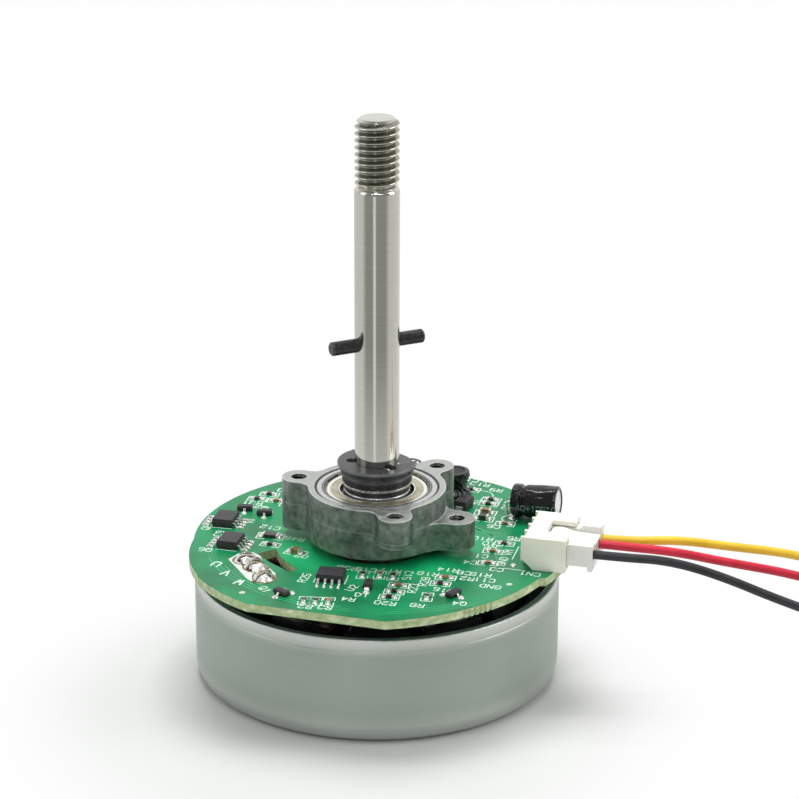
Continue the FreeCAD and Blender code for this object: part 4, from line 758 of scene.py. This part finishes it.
# %% Print the board's marks
LABELS = [
    ("U", -28.6, -9.8, 150, 1.9), ("V", -26.7, -13.8, 150, 1.9), ("W", -24.2, -17.9, 150, 1.9),
    ("R46", -15.0, 1.9, 160), ("Q6", -31.0, -3.2), ("C9", -28.9, 4.3, 75), ("Q5", -31.3, 7.4, 75),
    ("C7", -13.6, -6.2, 160), ("Q1", -19.6, -21.0, -60), ("R25", -12.8, -16.0, 74),
    ("R38", -5.3, -11.6, 162), ("C15", 5.4, -14.9, -100), ("U2", -4.4, -20.4, 60),
    ("D1", -2.6, -23.4, -10), ("R4", -5.0, -25.2), ("R20", 1.4, -26.9), ("R8", 6.9, -27.9),
    ("R23", 6.3, -20.6, 80), ("GND", 19.8, -19.8, 162), ("CN1", 27.0, -14.2, 162), ("C4", 16.6, -9.0),
    ("C1", 18.7, -6.2), ("R6", 20.4, -1.9), ("R10", 19.2, 1.9), ("R21", 15.2, -16.2),
    ("Q4", 14.2, -27.0, 170), ("R28", 8.3, -17.6, 78), ("GND", 22.4, -8.6, 76), ("VM", 23.6, -4.6, 76),
    ("C13", 17.6, 31.0, 160), ("R13", 19.6, 28.6, 160), ("D2", 21.6, 30.2, 160),
    ("R9", 22.6, 25.6, 160), ("R12", 24.4, 18.0, 75), ("C6", 21.4, 7.6), ("R31", -23.4, 19.2),
    ("R33", -17.0, 25.4), ("C21", -16.9, 18.0), ("Q2", -21.6, 17.0, 150), ("R7", -16.0, 12.4),
    ("C12", -19.6, 7.2, 160), ("R2", -12.4, -28.4), ("R3", -9.0, -28.8), ("R17", 2.4, -12.8),
    ("C16", -2.0, -12.3), ("C3", 21.2, -12.3), ("R5", 24.9, 1.9), ("R14", 12.6, -12.4),
    ("C8", 15.4, -13.8), ("R15", 18.3, -14.6), ("C11", 18.9, -16.9), ("R16", 11.6, -21.4, 160),
    ("R18", 9.0, -14.2), ("C10", 21.0, -0.6), ("R22", -24.6, 10.6, -10)]


def brackets(place, length, width, gap):
    """Two printed brackets that hold a chip part between them, open over the gap in its middle."""
    x, y = length / 2 + 0.98, width / 2 + 0.58
    shape = np.array([(gap, y, 0), (x, y, 0), (x, -y, 0), (gap, -y, 0)], float)
    return [moved(shape * (side, 1, 1), place)[:, :2] for side in (-1, 1)]


BRACKETED = [(RESISTORS + CAPACITORS, 1.6, 0.8, 0.45), (LARGER, 2.0, 1.25, 0.5),
             ([SHUNT], 3.0, 1.6, 0.9)]
marks = [line for label in LABELS[3:] for line in written(*label)]
phases = [line for label in LABELS[:3] for line in written(*label)]
marks += [line for places, *size in BRACKETED for place in places for line in brackets(place, *size)]
for place in MOSFETS:
    rail = np.array([(-1.9, 2.75, 0), (1.9, 2.75, 0)])
    marks += [moved(rail, place)[:, :2], moved(rail * (1, -1, 1), place)[:, :2]]
marks += [arc(2.6, 200, 470, (19.3, 22.8)), arc(1.5, 90, 330, (24.6, 11.4)),
          arc(5.0, 150, 330, CHOKE)]
marks += [[(24.2, -7.6), (25.6, -2.0)], [(22.6, -11.7), (26.2, -12.9)], [(23.9, 1.2), (26.2, 0.6)]]
letters = finish("white_print", (206, 228, 214), (226, 240, 230), (0.5, 0.6), 2.0, lift=0.01)
LINE_WIDTH, PHASE_WIDTH = 0.17, 0.3
ink = (BOARD_TOP - 0.01, BOARD_TOP + 0.02)
printed = piece("printed_marks", [bars(marks, LINE_WIDTH, *ink), bars(phases, PHASE_WIDTH, *ink)],
                letters)
print("printed lines:", len(marks) + len(phases), "faces:", len(printed.data.polygons))

# %% [markdown]
# ## Solder
# Solder wets a pad and pulls itself into a low dome. From above a dome is a rounded rectangle: its plan
# follows |cos t| and |sin t| to a power below one. Its height falls with distance from the middle. Pads
# sit at every lead's toe and at both ends of every chip part, so they are worked out from the same
# places.

# %% Heap the domes
SUNK = 0.03


def domes(places, size, low, power=0.55, sides=20):
    """Rows from the top pole to the rim: height (1 - q^3) at share q of the plan; flat below."""
    x, y, angle = np.array(places, float).T[:, :, None, None]
    length, width, height = size
    q = np.array([0, 0.35, 0.6, 0.8, 0.93, 1, 1, 0])[:, None]
    t = full_turn(sides)
    c, s = np.cos(t), np.sin(t)
    u = q * length / 2 * np.sign(c) * np.abs(c) ** power
    v = q * width / 2 * np.sign(s) * np.abs(s) ** power
    z = low + height * (1 - q ** 3) + 0 * t
    z[-2:] = low - SUNK
    a = np.radians(angle)
    return np.stack([x + u * np.cos(a) - v * np.sin(a), y + u * np.sin(a) + v * np.cos(a),
                     z + 0 * x], -1)


def beside(places, offsets, turn=0.0):
    """Each place's own offsets (x, y) turned by its angle and added to it."""
    found = []
    for x, y, angle in places:
        c, s = math.cos(math.radians(angle + turn)), math.sin(math.radians(angle + turn))
        found += [(x + dx * c - dy * s, y + dx * s + dy * c, angle + turn) for dx, dy in offsets]
    return found


solder_metal = finish("solder_metal", (206, 206, 200), (242, 242, 238), (0.2, 0.36), 0.7,
                      lift=0.03, lift_size=0.5, Metallic=0.85)
LEAD_STEP, LEAD_REACH = 1.27, 3.3
leads = [(side * LEAD_REACH, LEAD_STEP * (k - 1.5)) for side in (-1, 1) for k in range(4)]


def both_ends(half):
    """The two ends of a part that lies along its own x."""
    return [(-half, 0), (half, 0)]


PADS = [
    (beside(RESISTORS + CAPACITORS, both_ends(1.0)), (1.0, 1.05, 0.36)),
    (beside(LARGER, both_ends(1.25)), (0.95, 1.4, 0.5)),
    (beside([SHUNT], both_ends(1.75)), (1.0, 1.7, 0.4)),
    (beside(MOSFETS, leads), (1.5, 0.64, 0.36)),
    (beside(TRANSISTORS, [(-1.55, -0.95), (-1.55, 0.95), (1.55, 0)], 90), (1.3, 1.1, 0.4)),
    (beside([LARGE_DIODE], both_ends(3.0)), (1.3, 2.0, 0.4)),
    (beside([SMALL_DIODE], both_ends(2.35)), (1.2, 1.3, 0.35)),
    ([(24.3, -10.4, 70), (25.4, 13.3, 0), (25.0, 11.6, 0)], (1.7, 1.3, 0.3), 1.0),
    ([(-23.5, -22.3, 0), (23.2, -18.7, 0)], (1.1, 1.1, 0.03), 1.0)]
pads = [domes(places, size, BOARD_TOP, *power) for places, size, *power in PADS]
fillets = piece("solder_fillets", pads, solder_metal, sharp=60)
print("solder fillets:", sum(len(group) for group in pads), "faces:", len(fillets.data.polygons))

# %% [markdown]
# The three winding ends are soldered by hand, so their heaps are large, uneven and stained by flux. A
# few slow waves bend each heap's outline and height. Over each one lies a loop of the thick winding
# wire.

# %% Solder the winding ends
stained = finish("stained_solder", (74, 56, 34), (244, 242, 238), (0.16, 0.34), 1.6,
                 lift=0.08, lift_size=0.9, Metallic=0.8)
stain = next(n for n in stained.node_tree.nodes if n.type == "VALTORGB")
stain.color_ramp.elements[0].position, stain.color_ramp.elements[1].position = 0.41, 0.49


HEAP_R, HEAP_HEIGHT, HEAP_TURN = 2.1, 1.1, 1.3
LOOP_WIRE_R, LOOP_REACH, LOOP_RISE = 0.2, 1.6, 1.36


def outline(t, phase):
    """Radius = heap's radius * (1 + 0.1 cos(2t + phase) + 0.05 cos(3t))."""
    return HEAP_R * (1 + 0.1 * np.cos(2 * t + phase) + 0.05 * np.cos(3 * t))


def heap(x, y, phase):
    """Radius = q * outline; height = heap's height * (1 - q^2.6), with slow ripples."""
    q = np.array([0, 0.2, 0.4, 0.55, 0.7, 0.82, 0.92, 1, 1, 0])[:, None]
    t = full_turn(48)
    ripple = 0.24 * q * np.sin(3 * t + 2 * phase) * (1 - q)
    z = BOARD_TOP + HEAP_HEIGHT * (1 - q ** 2.6) + ripple
    z[-2:] = BOARD_TOP - SUNK
    return carried(q * outline(t, phase), t, z, x, y)


def flux_rim(x, y, phase):
    """Flat band from 0.9 to 1.13 of the heap's outline, where the flux has burnt."""
    q = np.array([0.9, 1.13, 1.13, 0.9, 0.9])[:, None]
    z = BOARD_TOP + np.array([-0.02, -0.02, 0.06, 0.06, -0.02])[:, None]
    t = full_turn(48)
    return carried(q * outline(t, phase), t, z, x, y)


def tube(path, radius, sides=12):
    """Circles square to a path: the frame is made from the path's direction and the upward one."""
    path = np.array(path, float)
    d = np.gradient(path, axis=0)
    d /= np.linalg.norm(d, axis=1)[:, None]
    u = np.cross(d, [0.02, 0.01, 1.0])
    u /= np.linalg.norm(u, axis=1)[:, None]
    v = np.cross(d, u)
    t = full_turn(sides)[..., None]
    rings = path[:, None] + radius * (np.cos(t) * u[:, None] + np.sin(t) * v[:, None])
    return with_ends(rings, path[[0, -1]])


def wire_loop(x, y, angle, rise):
    """Half an ellipse over the heap: along = reach cos a, up = rise sin a."""
    a = np.linspace(0, np.pi, 17)
    flat = np.stack([LOOP_REACH * np.cos(a), 0 * a, BOARD_TOP - 0.1 + rise * np.sin(a)], 1)
    return tube(moved(flat, (x, y, angle)), LOOP_WIRE_R)


heap_places = [(x, y, HEAP_TURN * k) for k, (x, y) in enumerate(WINDINGS)]
heaps = piece("winding_solder", [heap(*place) for place in heap_places], stained)
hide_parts("solder_joints")
burnt = finish("burnt_flux", (66, 48, 24), (150, 128, 92), (0.2, 0.4), 0.8, lift=0.02)
rims = piece("winding_flux", [flux_rim(*place) for place in heap_places], burnt)
loops = [wire_loop(x, y + shift, 8 + 14 * k, LOOP_RISE - 0.1 * abs(shift))
         for k, (x, y) in enumerate(WINDINGS) for shift in (-0.55, 0.5)]
wire_loops = piece("winding_loops", loops, tinned_copper)
print("faces of rims and loops:", len(rims.data.polygons), len(wire_loops.data.polygons))

# %% [markdown]
# The heaps stand in a white printed field: a flat plate with a slanting outline, made of four rows that
# run from its middle below to the lower corners, the upper corners and its middle above.

# %% Print the field under the heaps
FIELD = [(-26.6, -7.6), (-24.9, -5.0), (-22.3, -4.4), (-21.0, -6.0), (-20.2, -9.5), (-18.0, -13.9),
         (-17.8, -16.2), (-20.2, -18.6), (-21.9, -17.9), (-22.9, -16.4)]
corners = np.array(FIELD + FIELD[:1], float)
middle = np.repeat(corners.mean(0)[None], len(corners), 0)
flat = np.stack([middle, corners, corners, middle])
heights = np.array([-0.01, -0.01, 0.018, 0.018])[:, None, None] + BOARD_TOP + 0 * flat[..., :1]
dull_print = finish("dull_print", (186, 200, 190), (214, 224, 216), (0.5, 0.6), 1.4, lift=0.01)
field = piece("printed_field", [np.concatenate([flat, heights], -1)], dull_print)
print("field corners:", len(FIELD), "faces:", len(field.data.polygons))

# %% [markdown]
# ## Small parts
# Moulded packages are matt black with a slightly paler skin, and the three MOSFET chips carry a
# moulding mark at their first lead. Ceramic capacitors are brown. Resistors are black with a glassy
# top.

# %% Finish the small parts
moulding = finish("moulding", (36, 35, 38), (54, 53, 57), (0.42, 0.56), 1.2, lift=0.012,
                  lift_size=0.12, edge=0.1)
# Paler corners on the moulded packages: painted highlight.
paint_corner_wear_and_highlight(moulding, 0.12, shade(92, 92, 96))
resistor_glass = finish("resistor_glass", (26, 26, 28), (58, 56, 56), (0.2, 0.35), 0.5,
                        edge=0.06)
ceramic_brown = finish("ceramic_brown", (100, 80, 46), (158, 130, 84), (0.35, 0.5), 0.8,
                       edge=0.08)
tinned = finish("tinned", (214, 214, 210), (244, 244, 240), (0.24, 0.36), 0.5, lift=0.01,
                lift_size=0.2, edge=0.1, Metallic=0.8)
wear(moulding, "mosfet_chips", "controller_chip", "transistors", "diodes", "hall_sensors")
wear(resistor_glass, "chip_resistors")
wear(ceramic_brown, "chip_capacitors")
wear(tinned, "mosfet_leads", "controller_leads", "transistor_leads", "diode_leads", "chip_end_caps",
     "header_pins", "crimp_terminals", "lying_capacitor_leads")
CHIP_TOP, MARK_PLACE, MARK_SIZE = 25.95, (-1.25, 1.75), (0.6, 0.6, 0.006)
dots = piece("moulding_marks", [domes(beside(MOSFETS, [MARK_PLACE]), MARK_SIZE, CHIP_TOP, 1.0)],
             resistor_glass)
print("chips with a mark:", len(MOSFETS), "faces:", len(dots.data.polygons))

# %% [markdown]
# ## Connector
# The header is moulded in cream nylon and the plug in a whiter one. Nylon lets light in a little way,
# so its edges glow softly, which subsurface scattering gives.

# %% Finish the connector
cream_nylon = finish("cream_nylon", (228, 227, 212), (238, 237, 224), (0.32, 0.42), 6.0,
                     lift=0.006, lift_size=0.8, edge=0.18, Subsurface_Weight=0.25)
plug_nylon = finish("plug_nylon", (220, 221, 215), (234, 235, 229), (0.34, 0.44), 6.0,
                    lift=0.006, lift_size=0.8, edge=0.15, Subsurface_Weight=0.25)
for nylon in (cream_nylon, plug_nylon):
    socket(nylon.node_tree.nodes["Principled BSDF"], Subsurface_Scale=0.0012)
wear(cream_nylon, "connector_header")
wear(plug_nylon, "plug_housing")
print("connector finishes done")

# %% [markdown]
# ## Capacitors and choke
# Both capacitors wear shrunk black sleeves over bright cans. Shrinking leaves low ridges along the
# lying one's skin: a few sine waves in the angle round the can, which turn slowly as they run along it.
# The can below follows the same ridges, so the sleeve stays tight on it.

# %% Sleeve the capacitors
CAP_X, CAP_Y, CAP_ANGLE, CAP_TILT, CAP_R, CAP_LENGTH = 29.4, 11.7, -18.0, 2.9, 3.15, 8.6
RIDGE, SLEEVE, CAN_INSET, CAN_END = 0.025, 0.14, 0.22, 4.1
shrunk = finish("shrunk_sleeve", (8, 8, 10), (16, 16, 19), (0.07, 0.12), 3.0, lift=0.05,
                lift_size=1.6, Specular_IOR_Level=0.55)
aluminium = finish("aluminium", (226, 228, 229), (242, 243, 244), (0.3, 0.42), 1.5,
                   lift=0.004, lift_size=0.4, edge=0.2, Metallic=0.25)
wear(shrunk, "upright_capacitor_sleeve")
wear(aluminium, "upright_capacitor_can")


def lie_down(u, y, z):
    """Along the capacitor's axis, across and up from that axis, to its place on the board."""
    tilt = math.radians(CAP_TILT)
    high = BOARD_TOP + CAP_R * math.cos(tilt) + CAP_LENGTH / 2 * math.sin(tilt)
    lifted = np.stack([u * math.cos(tilt) - z * math.sin(tilt), y,
                       high + u * math.sin(tilt) + z * math.cos(tilt)], -1)
    return moved(lifted, (CAP_X, CAP_Y, CAP_ANGLE))


SKIN = [(-4.3, 2.3), (-4.3, 2.7), (-4.18, 3.0), (-3.9, 3.13), (-2.9, 3.13), (-2.6, 2.95), (-2.4, 2.68),
        (-2.2, 2.68), (-1.95, 2.98), (-1.5, 3.13), (3.9, 3.13), (4.18, 3.02), (4.3, 2.8), (4.3, 2.5)]


def evenly(path, count):
    """Both columns of a line of straight runs, taken at equal steps along it."""
    path = np.array(path, float)
    steps = np.concatenate([[0], np.cumsum(np.hypot(*np.diff(path, axis=0).T))])
    at_step = np.linspace(0, steps[-1], count)
    return [np.interp(at_step, steps, column)[:, None] for column in path.T]


def skin(inset):
    """Radius along the can less an inset and less the ridges, which fade out at both ends."""
    u, r = evenly(np.array(SKIN) * (1 - inset / 5, 1), 90)
    t = full_turn(120)
    ridges = (np.sin(7 * t + 0.9 * u) + 0.8 * np.sin(4 * t - 1.3 * u + 1)
              + 0.6 * np.sin(12 * t + 0.4 * u)
              + 1.6 * np.exp(-((u + 2.3) / 0.9) ** 2) * np.sin(9 * t + 2))
    r = r - inset - RIDGE * (ridges + 2.2) * np.clip((CAP_LENGTH / 2 - np.abs(u)) / 0.5, 0, 1)
    return lie_down(u + 0 * t, r * np.cos(t), r * np.sin(t))


outside, inside = skin(0.0), skin(SLEEVE)[::-1]
sleeve = piece("shrunk_sleeve", [np.concatenate([outside, inside, outside[:1]])], shrunk,
               sharp=70)
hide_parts("lying_capacitor_sleeve")
can_skin = skin(CAN_INSET)
ends = lie_down(np.array([-CAN_END, CAN_END]), np.zeros(2), np.zeros(2))
cap_can = piece("capacitor_can", [with_ends(can_skin, ends)], aluminium,
                sharp=50)
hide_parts("lying_capacitor_can")
print("sleeve faces:", len(sleeve.data.polygons), "can faces:", len(cap_can.data.polygons))

# %% [markdown]
# The lying one has plain ratings printed low on its side. The print is wrapped: a flat point (along,
# across, up) lands on the cylinder at the angle across / radius, so that lengths on the skin stay true.

# %% Print the ratings
PRINT_START = -8.0


def wrap(boxes, radius):
    """Flat (u, v, h) to a cylinder along x: angle = v / radius from straight down the near side."""
    u, v, h = boxes[..., 0], boxes[..., 1], boxes[..., 2]
    a = np.radians(PRINT_START) + v / radius
    r = radius + h
    return lie_down(u, -r * np.cos(a), r * np.sin(a))


ratings = written("-40+105°C", 0.2, 0.1, 0, 1.05) + written("25V", 2.2, -1.6, 0, 1.2)
grey_print = finish("grey_print", (110, 112, 120), (140, 142, 150), (0.4, 0.5), 1.0)
cap_print = piece("capacitor_print", [wrap(bars(ratings, 0.16, -0.01, 0.012), CAP_R)], grey_print)
print("capacitor print faces:", len(cap_print.data.polygons))

# %% [markdown]
# The choke is a drum of ferrite in a sleeve that shrank unevenly. Its section swells at foot and head,
# and its skin crumples: a sum of a few waves of different pitch, strongest at the waist where it had to
# shrink.

# %% Crumple the choke's sleeve
SECTION = [(2.3, 0), (3.0, 0), (3.1, 0.3), (3.05, 1.1), (2.7, 1.7), (2.35, 2.3), (2.3, 2.9),
           (2.35, 3.5), (2.6, 4.1), (2.75, 4.5), (2.75, 5.2), (2.6, 5.45), (1.9, 5.5), (1.85, 5.3)]
CRUMPLE = 0.075


def crumpled(x, y):
    """Radius of the section plus waves in angle and height; closed by its foot's and head's rings."""
    r, z = evenly(SECTION, 70)
    t = full_turn(120)
    waves = (np.sin(5 * t + 2.1 * z) + 0.8 * np.sin(9 * t - 3.3 * z + 1) + 0.6 * np.sin(14 * t + 5 * z)
             + 0.7 * np.sin(3 * t + 4.4 * z))
    strength = CRUMPLE * np.clip(z / 0.8, 0, 1) * np.clip((5.5 - z) / 0.8, 0, 1)
    outside = carried(r + strength * (waves - 1), t, BOARD_TOP + z, x, y)
    inside = turned([(1.85, BOARD_TOP + 5.3), (1.85, BOARD_TOP + 0.02), (2.3, BOARD_TOP)], 120, (x, y))
    return np.concatenate([outside, inside])


choke = piece("crumpled_sleeve", [crumpled(*CHOKE)], shrunk, sharp=70)
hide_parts("choke_sleeve")
print("choke sleeve faces:", len(choke.data.polygons))

# %% [markdown]
# ## Floor, light and paper
# The motor stands on white paper that runs up behind it. Near the motor the paper is lit like any
# matt sheet, and its grey there is partly the lamps' shadow and partly a painted shadow pool, for away
# from the motor it fades into pure white. For metal the paper glows in painted reflection bands round
# the shaft, which a polished round bar mirrors: white at the sides, and dim in front, but for one
# thin bright line.

# %% Lay the paper
WHITE, SIDE = (1, 1, 1, 1), (0.8, 0.8, 0.79, 1)
GREY, DARK = (0.74, 0.74, 0.73, 1), (0.36, 0.37, 0.345, 1)
BANDS = [(-180, SIDE), (-78, SIDE), (-56, DARK), (-21, DARK), (-16, WHITE), (-9, WHITE), (-4, DARK),
         (44, DARK), (62, GREY), (95, SIDE), (180, WHITE)]
# Middle and edges of the painted shadow pool, in metres.
SHADOW_MIDDLE = (0.006, 0.02, 0)
SHADOW_ENDS = {"From_Min": 0.036, "From_Max": 0.066, "To_Min": 0.0, "To_Max": 0.97}
MIRROR_STARTS = {"From_Min": 0.04, "From_Max": 0.18}


def painted_reflection_bands(tree):
    """White's share by direction round the shaft: angle = atan2(x, -y), which is zero in front."""
    parts = split(tree, own_place(tree))
    angle = sum_of(tree, "ARCTAN2", parts["X"], sum_of(tree, "MULTIPLY", parts["Y"], -1))
    share = sum_of(tree, "ADD", sum_of(tree, "DIVIDE", angle, 2 * math.pi), 0.5)
    return ramp(tree, share, [(degrees / 360 + 0.5, tone) for degrees, tone in BANDS])


def mixed(tree, share, first, second):
    """Two shaders mixed by a share from 0 to 1."""
    return node(tree, "MixShader", share, first, second).outputs["Shader"]


paper, tree, sheet = new_material("paper")
socket(sheet, Base_Color=(0.58, 0.59, 0.58, 1), Roughness=0.9, Specular_IOR_Level=0.1)
glow = node(tree, "Emission", Color=WHITE, Strength=1.0).outputs["Emission"]
# Painted reflection: the paper glows in bands round the shaft, seen only in metal.
painted_reflection = node(tree, "Emission", Color=painted_reflection_bands(tree), Strength=0.95).outputs["Emission"]
rays = node(tree, "LightPath").outputs
# Painted shadow pool: near the motor the paper keeps its grey lit tone, and away from it it glows
# white.
away = node(tree, "MapRange", interpolation_type="SMOOTHSTEP",
            Value=distance(tree, shift=SHADOW_MIDDLE), **SHADOW_ENDS).outputs["Result"]
far = node(tree, "MapRange", Value=distance(tree), **MIRROR_STARTS).outputs["Result"]
lit = mixed(tree, sum_of(tree, "MULTIPLY", rays["Is Camera Ray"], away), sheet.outputs["BSDF"], glow)
laid = mixed(tree, sum_of(tree, "MULTIPLY", rays["Is Glossy Ray"], far), lit, painted_reflection)
feed(tree, tree.nodes["Material Output"].inputs["Surface"], laid)

floor_mesh = bpy.data.meshes.new("floor")
floor_mesh.from_pydata([(-6, -6, 0), (6, -6, 0), (6, 6, 0), (-6, 6, 0)], [], [(0, 1, 2, 3)])
floor_mesh.materials.append(paper)
floor = bpy.data.objects.new("floor", floor_mesh)
scene.collection.objects.link(floor)
print("paper laid, bands in its mirror image:", len(BANDS))

# %% [markdown]
# The room is white where the camera looks at it. As a light it is dimmer, and in metal it is dark in
# front and white behind, as in a studio with one large white wall behind the object.

# %% Paint the room
ROOM_LIGHT = 0.42
world = bpy.data.worlds.new("room")
scene.world = world
world.use_nodes = True
tree = world.node_tree
room = tree.nodes["Background"]
room.inputs["Color"].default_value = WHITE
room.inputs["Strength"].default_value = ROOM_LIGHT
white = node(tree, "Background", Color=WHITE, Strength=1.0).outputs["Background"]
direction = split(tree, node(tree, "TexCoord").outputs["Generated"])
depth = sum_of(tree, "ADD", sum_of(tree, "MULTIPLY", direction["Y"], 0.5), 0.5)
front_to_back = ramp(tree, depth, [(0.0, (0.3, 0.3, 0.3, 1)), (0.45, (0.32, 0.32, 0.32, 1)),
                                   (0.8, (0.95, 0.95, 0.95, 1)), (1.0, WHITE)])
mirror = node(tree, "Background", Color=front_to_back).outputs["Background"]
rays = node(tree, "LightPath").outputs
seen = sum_of(tree, "MAXIMUM", rays["Is Camera Ray"], rays["Is Transmission Ray"])
in_metal = mixed(tree, rays["Is Glossy Ray"], room.outputs["Background"], mirror)
feed(tree, tree.nodes["World Output"].inputs["Surface"], mixed(tree, seen, in_metal, white))
print("room painted")

# %% [markdown]
# Large lamps give soft shadows. The one above stands a little behind the motor, so that its pool of
# shadow comes forward, and metal doesn't mirror it. The narrow ones are there for the bright lines in
# the metal.

# %% Hang the lamps
AIM = (0.01, 0.0, 0.03)
LAMPS = {
    "soft_top": ((0.03, 0.3, 0.9), (0.5, 0.5), 7.4),
    "strip": ((-0.085, -0.4, 0.9), (0.07, 0.5), 1.0),
    "soft_left": ((-0.9, -0.2, 0.45), (0.5, 0.7), 1.6),
    "soft_right": ((0.9, -0.1, 0.45), (0.5, 0.7), 3.2),
    "bar_above": ((0.0, 0.2, 0.95), (0.9, 0.03), 1.4),
    "bar_before": ((0.0, -0.76, 0.68), (0.9, 0.03), 1.3)}


def lamp(name, place, size, watts):
    """Soft oblong light that faces the motor's middle."""
    data = bpy.data.lights.new(name, "AREA")
    data.shape = "RECTANGLE"
    data.size, data.size_y = size
    data.energy = watts
    made = bpy.data.objects.new(name, data)
    made.location = place
    x, y, z = np.array(AIM) - np.array(place)
    made.rotation_euler = (math.atan2(math.hypot(x, y), -z), 0, math.atan2(y, x) - math.pi / 2)
    scene.collection.objects.link(made)
    return made


lamps = {name: lamp(name, *values) for name, values in LAMPS.items()}
lamps["soft_top"].visible_glossy = False
scene.view_settings.view_transform = "Standard"
print("lamps:", len(lamps))
